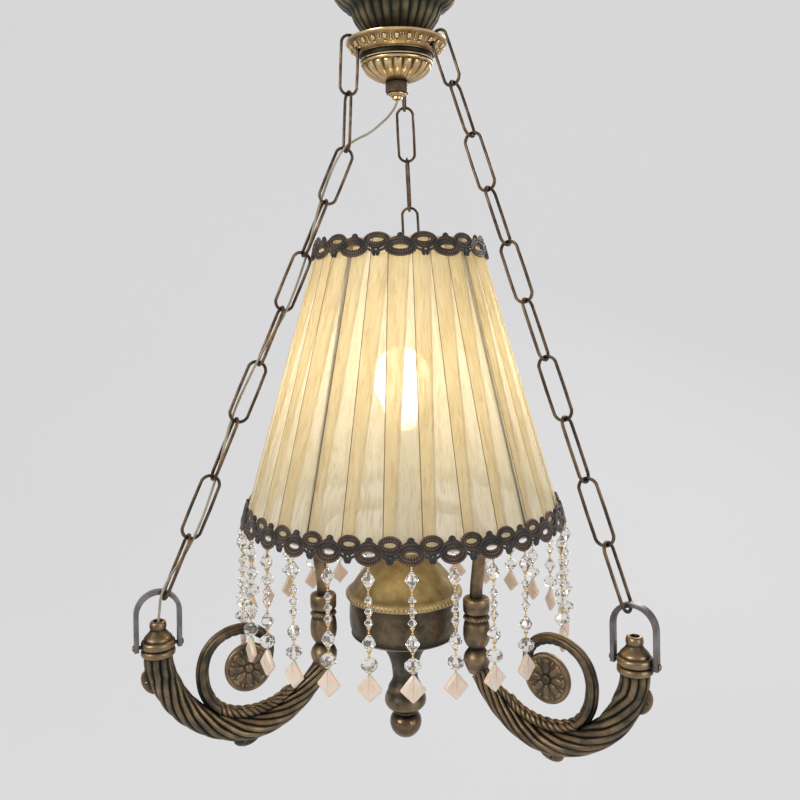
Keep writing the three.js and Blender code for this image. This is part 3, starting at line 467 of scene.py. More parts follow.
def lump(place, size, lean=(0, 0, 0), segments=12, rings=8):
    """A rounded lump in the mesh that is being edited, in millimetres."""
    shape = Matrix.Diagonal((*(Vector(size) / 1000), 1))
    for degrees, axis in zip(lean, "XYZ"):
        shape = Matrix.Rotation(math.radians(degrees), 4, axis) @ shape
    shape = Matrix.Translation(Vector(place) / 1000) @ shape
    mesh = bpy.context.object.data
    net = bmesh.from_edit_mesh(mesh)
    bmesh.ops.create_uvsphere(net, u_segments=segments, v_segments=rings, radius=1, matrix=shape)
    bmesh.update_edit_mesh(mesh)


def turned_copy(piece, name, turn):
    """A copy of a piece with its own mesh, turned about the lamp's axis."""
    one = bpy.data.objects.new(name, piece.data.copy())
    scene.collection.objects.link(one)
    one.data.transform(Matrix.Rotation(turn, 4, "Z"))
    return one


def joined(pieces, name):
    """Joins pieces into one."""
    only(pieces[0])
    for one in pieces:
        one.select_set(True)
    bpy.ops.object.join()
    bpy.context.object.name = name
    return bpy.context.object


def ring_copies(piece, count, leave_out=()):
    """Copies a piece round the lamp's axis and joins the copies into one."""
    name = piece.name
    steps = [i for i in range(count) if i not in leave_out]
    copies = [turned_copy(piece, name, 2 * math.pi * i / count) for i in steps]
    bpy.data.objects.remove(piece)
    return joined(copies, name)


border = begin("crown_border")
for side in (-1, 1):
    egg = math.radians(EGG_STEP * side)
    lump(around(egg, 48.6, -72.4), (2.5, 2.0, 3.1), (FACE_LEAN, 0, EGG_STEP * side))
    lump(around(egg, 44.9, -76.4), (2.4, 1.1, 1.3), (FACE_LEAN, 0, EGG_STEP * side))
for bend in range(-5, 6):
    out = math.radians(DART_AT + 3.1 * math.sin(bend * 0.3) / math.sin(1.5))
    slide = 5.6 * (math.cos(bend * 0.3) - math.cos(1.5))
    lump(around(out, 49.9 - 0.74 * slide, -70.6 - 0.68 * slide), (0.75, 0.75, 0.75), segments=8, rings=6)
lump(around(math.radians(DART_AT), 48.3, -72.4), (0.9, 1.0, 3.6), (FACE_LEAN, 0, DART_AT))
close_up(60)
border = ring_copies(border, CROWN_PARTS)
rib = begin("crown_ribs")
lump((0, -48.2, -72.6), (0.8, 1.2, 5.0), (FACE_LEAN, 0, 0))
lump((0, -46.2, -75.2), (1.4, 1.0, 1.6), (FACE_LEAN, 0, 0))
close_up(60)
rib = ring_copies(rib, CROWN_PARTS, leave_out=(2, 6, 10))
border = dress(joined([border, rib], "crown_border"), gilt_brass)
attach(border, "root")


# Crown dome: a gadrooned brass boss, twenty drops that run in to the middle, with the dark
# hexagon nut and a bright collar screwed up the threaded tube under it.
DOME = [
    (31, -86.9), (36.6, -86.9), (38, -87.5), (38.4, -88.7), (37.6, -90), (36.2, -90.8), (36.3, -92),
    (35.2, -95), (32.6, -98.4), (28.8, -101.5), (23.5, -104.3), (17.5, -106.3), (12.6, -107.5),
    (6.2, -107.9), (6.2, -104), (31, -90), (31, -86.9),
]
DOME_DROPS = 20
COLLAR = [
    (6, -119.4), (9.4, -119.4), (9.8, -120), (9.6, -121), (8, -121.6), (7.6, -122.6), (6.6, -123),
    (6, -123), (6, -119.4),
]
dome = begin("crown_dome_boss")
turn_profile(DOME, DOME_DROPS * 8)
flute(DOME_DROPS, -107, -91.4, (-0.052, -0.016, 0.006, 0.016, 0.02, 0.016, 0.006, -0.016))
close_up(60)
dress(dome, gilt_brass)
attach(dome, "root")
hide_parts("crown_dome")

collar = begin("crown_collar")
turn_profile(COLLAR, 40)
close_up(40)
dress(collar, gilt_brass)
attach(collar, "root")

nut_bronze = patina(
    "nut_bronze", (0.018, 0.014, 0.010), (0.075, 0.052, 0.034), (0.22, 0.15, 0.09), 0.34, spread=0.0,
)
dress(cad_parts["crown_nut"], nut_bronze)
dress(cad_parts["crown_nipple"], gilt_brass)


# Chains: ten long links of 3.2 mm bronzed wire each, bent and butted. The first link of each goes
# through the dish's lip, the last one under the shackle. The flex kinks the left chain inwards.
WIRE = 3.2
LINK_BEND = 9.4
ARMS = {"right": 60, "left": -60, "back": 180}
CHAINS = {
    "right": [(52.37, -64.70), (249.36, -619.24)],
    "left": [(52.61, -64.65), (58, -183), (248.37, -619.64)],
    "back": [(52.37, -64.70), (249.36, -619.24)],
}
LINKS = 10


def arm_point(angle, from_axis, side, height):
    """A point in an arm's own plane, in metres."""
    out = math.radians(angle)
    x = from_axis * math.sin(out) - side * math.cos(out)
    y = -from_axis * math.cos(out) - side * math.sin(out)
    return Vector((x, y, height)) / 1000


def joints_along(stations, links):
    """Evenly spaced joints on a line with corners."""
    stations = [Vector(station) for station in stations]
    lengths = [(b - a).length for a, b in zip(stations, stations[1:])]
    joints = []
    for i in range(links + 1):
        far = sum(lengths) * i / links
        for a, b, length in zip(stations, stations[1:], lengths):
            if far <= length + 1e-6:
                joints.append(a.lerp(b, far / length))
                break
            far -= length
    return joints


chain_bronze = patina(
    "chain_bronze", (0.022, 0.017, 0.012), (0.078, 0.056, 0.037), (0.36, 0.22, 0.12), 0.34, 0.2, spread=0.2,
)
for arm, stations in CHAINS.items():
    angle = ARMS[arm]
    joints = joints_along(stations, LINKS)
    links = []
    for i, (top, low) in enumerate(zip(joints, joints[1:])):
        a, b = arm_point(angle, top.x, 0, top.y), arm_point(angle, low.x, 0, low.y)
        reach = ((b - a).length * 1000 + WIRE) / 2 - LINK_BEND
        bpy.ops.object.select_all(action="DESELECT")
        bpy.ops.mesh.primitive_torus_add(
            major_segments=28, minor_segments=10, major_radius=LINK_BEND / 1000, minor_radius=WIRE / 2000,
        )
        link = bpy.context.object
        bpy.ops.object.mode_set(mode="EDIT")
        for end in (1, -1):
            select_where(lambda co: co.x * end > 0.0001)
            bpy.ops.transform.translate(value=(end * reach / 1000, 0, 0))
        bpy.ops.object.mode_set(mode="OBJECT")
        bpy.ops.object.shade_smooth()
        along = (b - a).normalized()
        across = (arm_point(angle, 0, 1, 0) * 1000).normalized()
        wide = across.cross(along) if i % 2 == 0 else across
        flat = along.cross(wide)
        link.data.transform(Matrix((along, wide, flat)).transposed().to_4x4())
        link.data.transform(Matrix.Translation((a + b) / 2))
        links.append(link)
    chain = joined(links, f"chain_{arm}_links")
    dress(chain, chain_bronze)
    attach(chain, f"chain_{arm}")
    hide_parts(f"chain_{arm}")


# Shackles: flat steel strip bent to a stirrup, grey and a little dull. The last link bears on its
# top, and its feet are held to the horn's collar by two short pins.
SHACKLE_MIDDLE = 254.5
SHACKLE_HALF = 19.9
SHACKLE_BEND_Z = -633.7
SHACKLE_FOOT_Z = -668
STRIP_THICK, STRIP_WIDE = 4.4, 7
PIN_Z = -664
PIN_HOLE_RADIUS, PIN_RADIUS = 0.0021, 0.0018


def round_arms(piece, body, node, arms=tuple(ARMS)):
    """Copies a piece made for an arm that points along +X to each arm's place."""
    for arm in arms:
        one = turned_copy(piece, f"{piece.name}_{arm}", math.radians(ARMS[arm] - 90))
        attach(one, body.format(arm))
        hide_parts(node.format(arm))
    bpy.data.objects.remove(piece)


grey_steel = patina(
    "grey_steel", (0.04, 0.036, 0.034), (0.15, 0.135, 0.13), (0.34, 0.31, 0.30), 0.36, 0.2, spread=0.35,
)
shackle = begin("shackle_strip")
foot = ((SHACKLE_MIDDLE + SHACKLE_HALF) / 1000, 0, SHACKLE_FOOT_Z / 1000)
leg = (SHACKLE_BEND_Z - SHACKLE_FOOT_Z) / 1000
bpy.ops.mesh.primitive_plane_add(size=0.001, location=foot)
bpy.ops.transform.resize(value=(STRIP_THICK, STRIP_WIDE, 1), center_override=foot)
pull_up(leg)
bpy.ops.mesh.spin(
    steps=28, angle=math.pi, center=(SHACKLE_MIDDLE / 1000, 0, SHACKLE_BEND_Z / 1000), axis=(0, 1, 0),
)
pull_up(-leg)
close_up(40)
modify(shackle, "BEVEL", width=0.0006, segments=2, limit_method="ANGLE", angle_limit=math.radians(50))
drill(shackle, PIN_HOLE_RADIUS, 0.06, (SHACKLE_MIDDLE / 1000, 0, PIN_Z / 1000), (0, math.pi / 2, 0))
smooth(shackle, 40)
dress(shackle, grey_steel)
round_arms(shackle, "shackle_{}", "shackle_{}")


# Horn caps: a turned collar of two rounded rings, a cone and a knob, which closes the horn and
# carries the pins. Each knob has a small hollow on top; the left one is bored deeper, for the flex.
CAP_BASE_Z = -672.7
CAP = [
    (0.2, 0), (15.2, 0), (15.8, 0.6), (16, 2.2), (15.8, 4.4), (15, 5.6), (14.2, 6.1), (14.3, 6.7),
    (15.4, 7.4), (15.9, 9), (15.9, 11.4), (15.4, 13), (14.2, 13.9), (13.4, 14.2), (13.2, 15),
    (13, 16.4), (12, 17.6), (10.4, 19.2), (8.8, 21), (7.8, 22.4), (7.2, 23.4), (7.3, 24.2), (7.8, 25.4),
    (7.9, 27.4), (7.6, 29.4), (6.9, 31), (5.6, 31.7), (4.6, 31.5),
]
PLAIN_MOUTH = [(4, 30), (3.6, 28.8), (0.2, 28.6)]
BORED_MOUTH = [(4, 30), (2.6, 28.8), (2.2, 28), (2.2, 21), (0.2, 20.9)]
PIN_HEAD, PIN_MIDDLE = SHACKLE_HALF + 2.7, 18.7


def turned_solid(outline, sides):
    """A turned piece with no bore: the narrow rings at its two ends are drawn to a point."""
    turn_profile(outline, sides)
    bpy.ops.mesh.merge(type="CENTER")
    select_where(lambda co: abs(co.z * 1000 - outline[0][1]) < 0.05 and co.xy.length < 0.001)
    bpy.ops.mesh.merge(type="CENTER")


def move_all(x, z):
    """Moves the whole mesh that is being edited, in millimetres."""
    bpy.ops.mesh.select_all(action="SELECT")
    bpy.ops.transform.translate(value=(x / 1000, 0, z / 1000))


# The last colour is painted light: a lighter copper on the faces that look up.
rubbed_bronze = patina(
    "rubbed_bronze", (0.015, 0.016, 0.012), (0.060, 0.060, 0.046), (0.34, 0.23, 0.13), 0.38, 0.3,
    lit_top=(0.15, 0.10, 0.055),
)
for arms, mouth in ((("right", "back"), PLAIN_MOUTH), (("left",), BORED_MOUTH)):
    cap = begin("horn_cap_turned")
    turned_solid([(radius, CAP_BASE_Z + height) for radius, height in CAP + mouth], 40)
    move_all(SHACKLE_MIDDLE, 0)
    for side in (-1, 1):
        lump((SHACKLE_MIDDLE + side * PIN_HEAD, 0, PIN_Z), (1.3, 2.9, 2.9))
        bpy.ops.mesh.select_all(action="DESELECT")
        bpy.ops.mesh.primitive_cylinder_add(
            vertices=14, radius=PIN_RADIUS, depth=0.0076,
            location=((SHACKLE_MIDDLE + side * PIN_MIDDLE) / 1000, 0, PIN_Z / 1000),
            rotation=(0, math.pi / 2, 0),
        )
    close_up(40)
    dress(cap, rubbed_bronze)
    round_arms(cap, "lamp_frame", "horn_cap_{}", arms)


# Arms: one bronze casting each. A fluted horn twists down and in to a leaf calyx; a scroll with a
# rope edge springs from it round an eight-petal rosette. Two pierced ears stand on its outside.
HORN = [
    (254.5, -673, 13.4), (254.4, -680, 13.6), (252, -691, 13.6), (246.2, -705, 13.4), (235.5, -723, 13),
    (217, -741, 12.4), (194, -754, 12.1), (170, -759.5, 12.1), (147, -756.5, 11.8), (125, -746, 11),
    (105.5, -729, 10), (93.5, -713, 9.2),
]
HORN_RIBS = 10
SCROLL = [
    (112, -722, 3.4), (126, -731, 4.6), (139, -739.5, 5.2), (153, -744, 5.6), (168, -745.5, 5.8),
    (185, -743, 5.9), (199, -735.5, 5.9), (209.5, -722, 5.8), (214, -705, 5.7), (213, -689, 5.5),
    (206.3, -675, 5.3), (195, -665.8, 5.1), (180, -661.5, 5), (165, -663.3, 4.9), (153, -671, 4.6),
    (147, -683, 4.2), (147.5, -696, 3.8),
]
ROSETTE = (168.5, -700.5)
ROSETTE_DISC = [
    (0.2, -3.4), (20, -3.4), (22.2, -3.2), (23.4, -2), (23.6, 0), (23.4, 2), (22.2, 3.2), (20, 3.4),
    (0.2, 3.4),
]
PETALS = 8
PETAL_LUMPS = [
    (0, 11.2, 3.0, (6.4, 3.6, 1.7), 14, 8), (0, 17.4, 3.1, (2.4, 4.2, 1.5), 12, 8),
    (22.5, 17.6, 3.1, (2.6, 1.4, 1.3), 10, 6),
]
SPIRAL, SPIRAL_START = 0.033, 16
EARS = [(266, -698, 27), (172, -774, 100)]
EAR_HOLE_RADIUS = 0.0013
CALYX_FROM_AXIS, CALYX_TOP_Z = 90.2, -639
CALYX_BEADS = 22
CALYX = [
    (0.2, 0), (9.5, 0), (12.4, -0.8), (13.3, -2.4), (13.4, -8), (13.2, -13.6), (12.4, -15.2),
    (11.2, -16), (11, -17), (11.6, -18), (12.6, -19.4), (12.6, -21), (11.8, -22.4), (11.8, -24),
    (12.6, -26), (13.4, -31), (13.6, -37), (12.9, -42.5), (10.9, -46.8), (8.8, -49.2), (8.3, -51),
    (9.6, -53), (12, -56), (13.5, -60), (13.1, -64), (11.4, -69), (8.6, -75), (0.2, -76),
]


def section_of(name, shape):
    """A closed flat outline, for a bar that isn't round. Shape gives its radius at each angle."""
    outline = bpy.data.curves.new(name, "CURVE")
    outline.dimensions = "2D"
    ring = outline.splines.new("POLY")
    count = 80
    ring.points.add(count - 1)
    for i in range(count):
        turn = 2 * math.pi * i / count
        radius = 0.001 * shape(turn)
        ring.points[i].co = (radius * math.cos(turn), radius * math.sin(turn), 0, 1)
    ring.use_cyclic_u = True
    made = bpy.data.objects.new(name, outline)
    scene.collection.objects.link(made)
    return made


def arm_bar(name, stations, steps, turns, section):
    """A bar of the arm through its stations: from the axis, height and size in millimetres."""
    points = [Vector((from_axis, 0, height)) / 1000 for from_axis, height, size in stations]
    sizes = [size for from_axis, height, size in stations]
    return swept(name, points, 0, steps=steps, sizes=sizes, turns=turns, section=section)


def bead_ring(count, radius, height, size):
    """A ring of small cast beads in the mesh that is being edited."""
    for i in range(count):
        turn = 2 * math.pi * i / count
        lump((radius * math.cos(turn), radius * math.sin(turn), height), size, segments=8, rings=6)


fluted = section_of(
    "fluted_section", lambda turn: 1 - 0.15 * (1 - abs(math.sin(turn * HORN_RIBS / 2)) ** 0.8),
)
along_horn = [0]
for here, there in zip(HORN, HORN[1:]):
    along_horn.append(along_horn[-1] + math.dist(here[:2], there[:2]))
horn = arm_bar("arm_horn", HORN, 14, [SPIRAL * max(0, far - SPIRAL_START) for far in along_horn], fluted)
moulded = section_of("moulded_section", lambda turn: 1 - 0.17 * abs(math.sin(turn * 2)) ** 6)
scroll_turns = [min(i, 6) * math.pi * 5 / 4 for i in range(len(SCROLL))]
scroll = arm_bar("arm_scroll", SCROLL, 12, scroll_turns, moulded)

rope_stations = []
for (x0, z0, _), (x1, z1, size), (x2, z2, _) in zip(SCROLL, SCROLL[1:], SCROLL[2:]):
    tangent = Vector((x2 - x0, 0, z2 - z0)).normalized()
    on_edge = Vector((x1, 0, z1)) + Vector((-tangent.z, 0, tangent.x)) * (size * 0.86)
    i = len(rope_stations)
    rope_stations.append((on_edge.x, on_edge.z, 2.8 if i < 5 else 2.5 - 0.06 * (i - 4)))
rope_turns = [0]
for i in range(len(rope_stations) - 1):
    rope_turns.append(rope_turns[-1] + (0 if 6 <= i < 10 else 5.6))
two_ply = section_of("rope_section", lambda turn: 0.6 + 0.4 * abs(math.cos(turn)))
rope = arm_bar("arm_rope", rope_stations, 20, rope_turns, two_ply)
for one in (fluted, moulded, two_ply):
    bpy.data.objects.remove(one)

rosette = begin("arm_rosette")
turned_solid(ROSETTE_DISC, 64)
for side in (-1, 1):
    lump((0, 0, side * 3.6), (4.2, 4.2, 2.2), segments=20, rings=10)
    for petal in range(PETALS):
        for on, far, proud, size, segments, rings in PETAL_LUMPS:
            degrees = 360 / PETALS * petal + on
            turn = math.radians(degrees)
            spot = (far * math.cos(turn), far * math.sin(turn), side * proud)
            lump(spot, size, (0, 0, degrees), segments, rings)
bpy.ops.mesh.select_all(action="SELECT")
bpy.ops.transform.rotate(value=math.pi / 2, orient_axis="X", center_override=(0, 0, 0))
move_all(*ROSETTE)
close_up(50)

ears = begin("arm_ears")
for from_axis, height, lean in EARS:
    inwards = Vector((-math.cos(math.radians(lean)), 0, math.sin(math.radians(lean))))
    middle = Vector((from_axis, 0, height)) + inwards * 5 + Vector((-inwards.z, 0, inwards.x)) * 2
    lump(middle, (9.2, 2.5, 13.5), (0, lean, 0), 32, 12)
    lump(middle + inwards * 3, (8.5, 4, 10), (0, lean, 0), 24, 10)
close_up(50)
for from_axis, height, lean in EARS:
    drill(ears, EAR_HOLE_RADIUS, 0.02, (from_axis / 1000, 0, height / 1000), (math.pi / 2, 0, 0))

calyx = begin("arm_calyx")
turned_solid([(radius, CALYX_TOP_Z + height) for radius, height in CALYX], 48)
bead_ring(CALYX_BEADS, 12, -659.2, (1.55, 1.55, 1.6))
move_all(CALYX_FROM_AXIS, 0)
close_up(40)

casting = joined([horn, scroll, rope, rosette, ears, calyx], "arm_casting")
bpy.ops.object.mode_set(mode="EDIT")
bpy.ops.mesh.select_all(action="SELECT")
bpy.ops.mesh.normals_make_consistent(inside=False)
bpy.ops.object.mode_set(mode="OBJECT")
smooth(casting, 50)
dress(casting, rubbed_bronze)
round_arms(casting, "lamp_frame", "arm_{}")


# Neck tubes: bronzed tube that rises out of each calyx, bends over inside the shade and is
# screwed into the hub. The wires of the lamp run through them.
NECK = [
    (90.2, -639.5), (90.4, -632), (93.2, -608), (95.5, -587), (91.5, -567), (78, -555.5), (58, -554),
    (32.3, -554), (20.3, -554),
]
NECK_RADIUS = 0.0064
neck = swept("neck_tube_bent", [Vector((x, 0, z)) / 1000 for x, z in NECK], NECK_RADIUS, 18, 7)
smooth(neck, 50)
dress(neck, rubbed_bronze)
round_arms(neck, "lamp_frame", "neck_tube_{}")


# Column: a gilt spun cover with a beaded rim over a dark drum. The drum, its dished underside,
# waist and knop are one spinning, and the ball finial is screwed up under it on the centre rod.
COVER = [
    (5.4, -597), (11, -597), (14.5, -598.6), (18, -604), (23.5, -610.5), (32, -617.2), (41.5, -625.5),
    (49.5, -634.5), (54.6, -642), (57, -645.4), (59.4, -647), (60.8, -648.6), (61.2, -651.4),
    (60.6, -653.4), (58.5, -654), (56, -651), (48, -637), (26, -615), (5.4, -600.6), (5.4, -597),
]
CUP = [
    (5.5, -654.4), (56.8, -654.4), (57.4, -655), (57.6, -658), (58.2, -668), (58.4, -676), (57.6, -684),
    (56, -689.4), (55.8, -690.6), (56.6, -691.6), (55.6, -692.7), (50, -693), (42, -694.2), (35, -697),
    (28.5, -702), (22.5, -709), (17.6, -718), (14.6, -727), (13.4, -736), (13.2, -742), (15, -746.5),
    (17.4, -750), (18.4, -753), (18.6, -756), (20.4, -758.6), (21.8, -762.5), (22, -766), (21.2, -769),
    (19, -771.8), (15.8, -773.6), (14, -776), (5.5, -776),
]
FINIAL = [
    (0.2, -776.3), (12.8, -776.3), (12.6, -777.6), (11.2, -778.4), (12.2, -779.4), (14.4, -781.2),
    (16.2, -784), (17, -788), (16.6, -791.6), (15.2, -795.6), (12.6, -799.4), (9, -802.4),
    (5.4, -804.2), (3.4, -804.8), (0.2, -805),
]
COVER_BEADS = 84
aged_gilt = patina("aged_gilt", (0.055, 0.042, 0.02), (0.30, 0.225, 0.105), (0.60, 0.46, 0.24), 0.42, 0.22)
cover = begin("column_cover_spun")
turn_profile(COVER, 96)
bead_ring(COVER_BEADS, 60.4, -650.6, (1.9, 1.9, 2.6))
close_up(40)
dress(cover, aged_gilt)
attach(cover, "lamp_frame")
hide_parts("column_cover")

cup = begin("column_cup_spun")
turn_profile(CUP + CUP[:1], 96)
close_up(40)
dress(cup, dark_bronze)
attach(cup, "lamp_frame")
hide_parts("column_cup")

polished = patina(
    "polished_bronze", (0.018, 0.014, 0.011), (0.066, 0.046, 0.033), (0.24, 0.15, 0.09), 0.20, 0.06,
)
finial = begin("column_finial_ball")
turned_solid(FINIAL, 56)
close_up(40)
dress(finial, polished)
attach(finial, "lamp_frame")
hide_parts("column_finial")


# Bracket, rod, lamp holder and shade frame: steel and moulded fittings that hold the shade up from
# inside. The wires of the frame show through the cloth as dark bands.
moulding, tree, skin, place = blank("dark_moulding", {"Roughness": 0.45})
mottle = noise(tree, place, 120.0, 4.0)
dark = ramp(tree, mottle, [(0.35, (0.018, 0.015, 0.012)), (0.7, (0.05, 0.042, 0.034))])
finish(tree, skin, dark, bump(tree, mottle, 0.2, 0.0003))
for node in ("lamp_holder", "shade_ring"):
    dress(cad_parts[node], moulding)
for node in ("ceiling_yoke", "centre_rod", "shade_frame"):
    dress(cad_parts[node], grey_steel)


# Bulb: a frosted glass bulb of 60 mm, lit warm white. It is screwed into the holder by its 27 mm
# cap, and its glow fades down the neck to there.
BULB = [
    (0.2, -390), (6, -390.5), (12, -392.5), (17.5, -395.7), (22.2, -399.9), (26, -405), (28.6, -411),
    (29.9, -417), (30, -422), (29.2, -429), (27.2, -436.5), (24, -444.5), (20.4, -452), (17.6, -460),
    (16, -468), (15.2, -474.6), (13.5, -475.6), (13.2, -477), (13.3, -500), (5, -504.5), (0.2, -504.8),
]
frosted, tree, skin, place = blank(
    "frosted_glass", {"Emission Strength": 12.5, "Base Color": (0.92, 0.9, 0.85, 1), "Roughness": 0.3},
)
height = put(tree, "ShaderNodeSeparateXYZ", {"Vector": place}).outputs["Z"]
neck_to_top = between(tree, height, -0.476, -0.44)
glow = ramp(
    tree, neck_to_top, [(0.0, (0.20, 0.17, 0.11)), (0.35, (0.75, 0.63, 0.42)), (1.0, (1.0, 0.89, 0.66))],
)
tree.links.new(glow, skin.inputs["Emission Color"])
bulb = begin("bulb_glass")
turned_solid(BULB, 48)
close_up(40)
dress(bulb, frosted)
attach(bulb, "bulb")
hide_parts("bulb")


# Shade cover: one length of cream sheer, 1.68 by 0.296 m, laid in 28 knife pleats and glued round
# the frame's top and bottom rings. The lit bulb shows where only one layer lies over it, and the
# ribs of the frame, wound with grey cotton tape, show as dark bands.
PLEATS = 28
CLOTH_PER_PLEAT = 60
CLOTH_LONG = 296
SHADE_TOP, SHADE_TOP_Z = 86, -278
SHADE_BOTTOM, SHADE_BOTTOM_Z = 165, -563
TOP_NUDGE, BOTTOM_NUDGE = 3.4, 6.5
CLOTH_OFF_RING, PLEAT_DEPTH = 0.3, 2.2
RUN_STEPS = 7
BACK_STEPS = 3
SHADE_ROWS = 22
RIB_ANGLES = (-26, 52, 122, 193, 264)
TAPE_INSET, TAPE_RADIUS = 4.6, 2.15


def drawn(name, points):
    """A bare line of straight pieces through points, in metres."""
    line = bpy.data.curves.new(name, "CURVE")
    line.dimensions = "3D"
    spline = line.splines.new("POLY")
    spline.points.add(len(points) - 1)
    for knot, point in zip(spline.points, points):
        knot.co = (*point, 1)
    made = bpy.data.objects.new(name, line)
    scene.collection.objects.link(made)
    only(made)
    bpy.ops.object.convert(target="MESH")
    return bpy.context.object


chance = random.Random(11)
nudges = [
    (chance.uniform(-TOP_NUDGE, TOP_NUDGE), chance.uniform(-BOTTOM_NUDGE, BOTTOM_NUDGE))
    for pleat in range(PLEATS)
]
edges = []
for end, (radius, height) in enumerate(((SHADE_TOP, SHADE_TOP_Z), (SHADE_BOTTOM, SHADE_BOTTOM_Z))):
    pitch = 2 * math.pi * radius / PLEATS
    edge = []
    for pleat in range(PLEATS):
        start = pitch * pleat + nudges[pleat][end]
        stop = pitch * (pleat + 1) + nudges[(pleat + 1) % PLEATS][end]
        under = (CLOTH_PER_PLEAT - (stop - start)) / 2
        run = stop - start + under
        steps = [(run * i / RUN_STEPS, run * i / RUN_STEPS, i / RUN_STEPS) for i in range(RUN_STEPS)]
        steps += [
            (run - under * i / BACK_STEPS, run + under * i / BACK_STEPS, 1 + i / BACK_STEPS)
            for i in range(BACK_STEPS)
        ]
        for along, cloth, fold in steps:
            out = radius + CLOTH_OFF_RING - PLEAT_DEPTH * min(fold, 2 - fold)
            spot = around((start + along) / radius, out, height) / 1000
            edge.append((spot, pleat * CLOTH_PER_PLEAT + cloth, fold))
    edge.append((edge[0][0], PLEATS * CLOTH_PER_PLEAT, 0))
    edges.append(edge)
outlines = [drawn("shade_edge", [point for point, cloth, fold in edge]) for edge in edges]
shade = joined(outlines, "shade_cloth")
bpy.ops.object.mode_set(mode="EDIT")
bpy.ops.mesh.select_all(action="SELECT")
bpy.ops.mesh.bridge_edge_loops(number_cuts=SHADE_ROWS - 1, interpolation="LINEAR")
bpy.ops.object.mode_set(mode="OBJECT")
cloth_at = KDTree(len(edges[0]) * (SHADE_ROWS + 1))
cloth_places = []
for row in range(SHADE_ROWS + 1):
    share = row / SHADE_ROWS
    for (top_point, top_cloth, fold), (low_point, low_cloth, _) in zip(*edges):
        cloth_at.insert(top_point.lerp(low_point, share), len(cloth_places))
        cloth_places.append((top_cloth + (low_cloth - top_cloth) * share, CLOTH_LONG * (1 - share), fold))
cloth_at.balance()
weave_map = shade.data.uv_layers.new(name="UVMap")
fold_map = shade.data.uv_layers.new(name="folds")
seam = PLEATS * CLOTH_PER_PLEAT
for face in shade.data.polygons:
    corners = [cloth_places[cloth_at.find(shade.data.vertices[v].co)[1]] for v in face.vertices]
    far = max(across for across, along, fold in corners)
    near = min(across for across, along, fold in corners)
    turned_back = max(fold for across, along, fold in corners) > 1.2
    for loop, (across, along, fold) in zip(face.loop_indices, corners):
        if far - across > seam / 2:
            across += seam
        elif across == seam and near < seam / 2:
            across = 0
        weave_map.data[loop].uv = (across / 1000, along / 1000)
        fold_map.data[loop].uv = (2 if turned_back and fold == 0 else fold, along / 1000)
only(shade)
bpy.ops.object.mode_set(mode="EDIT")
close_up(30)


def stretched(tree, at, along):
    """Places on the cloth, drawn out along it."""
    sockets = {0: at, 1: (1, along, 1)}
    return put(tree, "ShaderNodeVectorMath", sockets, operation="MULTIPLY").outputs["Vector"]


def banded(tree, at, scale, distortion, way, **more):
    """The strength of a pattern of bands across one axis."""
    sockets = {"Vector": at, "Scale": scale, "Distortion": distortion, **more}
    return put(tree, "ShaderNodeTexWave", sockets, bands_direction=way).outputs["Fac"]


sheer = bpy.data.materials.new("cream_sheer")
sheer.use_nodes = True
tree = sheer.node_tree
tree.nodes.remove(tree.nodes["Principled BSDF"])
cut = put(tree, "ShaderNodeUVMap", uv_map="UVMap").outputs["UV"]
streak = noise(tree, stretched(tree, cut, 0.022), 1150.0, 6.0, Roughness=0.72)
moire = noise(tree, stretched(tree, cut, 0.16), 260.0, 3.0, Distortion=1.6)
warp = banded(tree, cut, 380.0, 0.6, "X", Detail=1.0)
weft = banded(tree, cut, 380.0, 0.6, "Y", Detail=1.0)
net_of = reckon(tree, "MAXIMUM", warp, weft)
cloudy = reckon(tree, "ADD", streak, moire)
density = between(tree, cloudy, 0.84, 1.16)
folds = put(tree, "ShaderNodeUVMap", uv_map="folds").outputs["UV"]
fold_at = put(tree, "ShaderNodeSeparateXYZ", {"Vector": folds}).outputs["X"]
off_fold = reckon(tree, "PINGPONG", reckon(tree, "PINGPONG", fold_at, 1.0), 0.5)
# Painted shade: a thin dark line along each fold, where the weave is also closed up.
painted_fold_shade = between(tree, off_fold, 0.024, 0.010)
cream = ramp(
    tree, density, [(0.1, (0.925, 0.87, 0.72)), (0.5, (0.87, 0.80, 0.625)), (0.95, (0.755, 0.66, 0.47))],
)
cream = mixed(tree, painted_fold_shade, cream, (0.2, 0.125, 0.06, 1))
fibre = bump(tree, cloudy, 0.3, 0.0003, over=bump(tree, net_of, 0.35, 0.0001))
thread = put(tree, "ShaderNodeBsdfDiffuse", {"Color": cream, "Normal": fibre}).outputs[0]
lit_through = put(tree, "ShaderNodeBsdfTranslucent", {"Color": cream, "Normal": fibre}).outputs[0]
open_mesh = put(tree, "ShaderNodeBsdfTransparent", {"Color": (1.0, 0.97, 0.9, 1)}).outputs[0]
yarn = put(tree, "ShaderNodeMixShader", {"Fac": 0.78, 1: thread, 2: lit_through}).outputs[0]
closed_up = between(tree, density, 0.0, 1.0, 0.80, 0.93)
laid_back = between(tree, fold_at, 1.0, 1.08, 1.0, 0.22)
closed_up = reckon(tree, "MAXIMUM", reckon(tree, "MULTIPLY", closed_up, laid_back), painted_fold_shade)
all_of = put(tree, "ShaderNodeMixShader", {"Fac": closed_up, 1: open_mesh, 2: yarn}).outputs[0]
tree.links.new(all_of, tree.nodes["Material Output"].inputs["Surface"])
dress(shade, sheer)
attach(shade, "lamp_frame")
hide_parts("shade_cover")

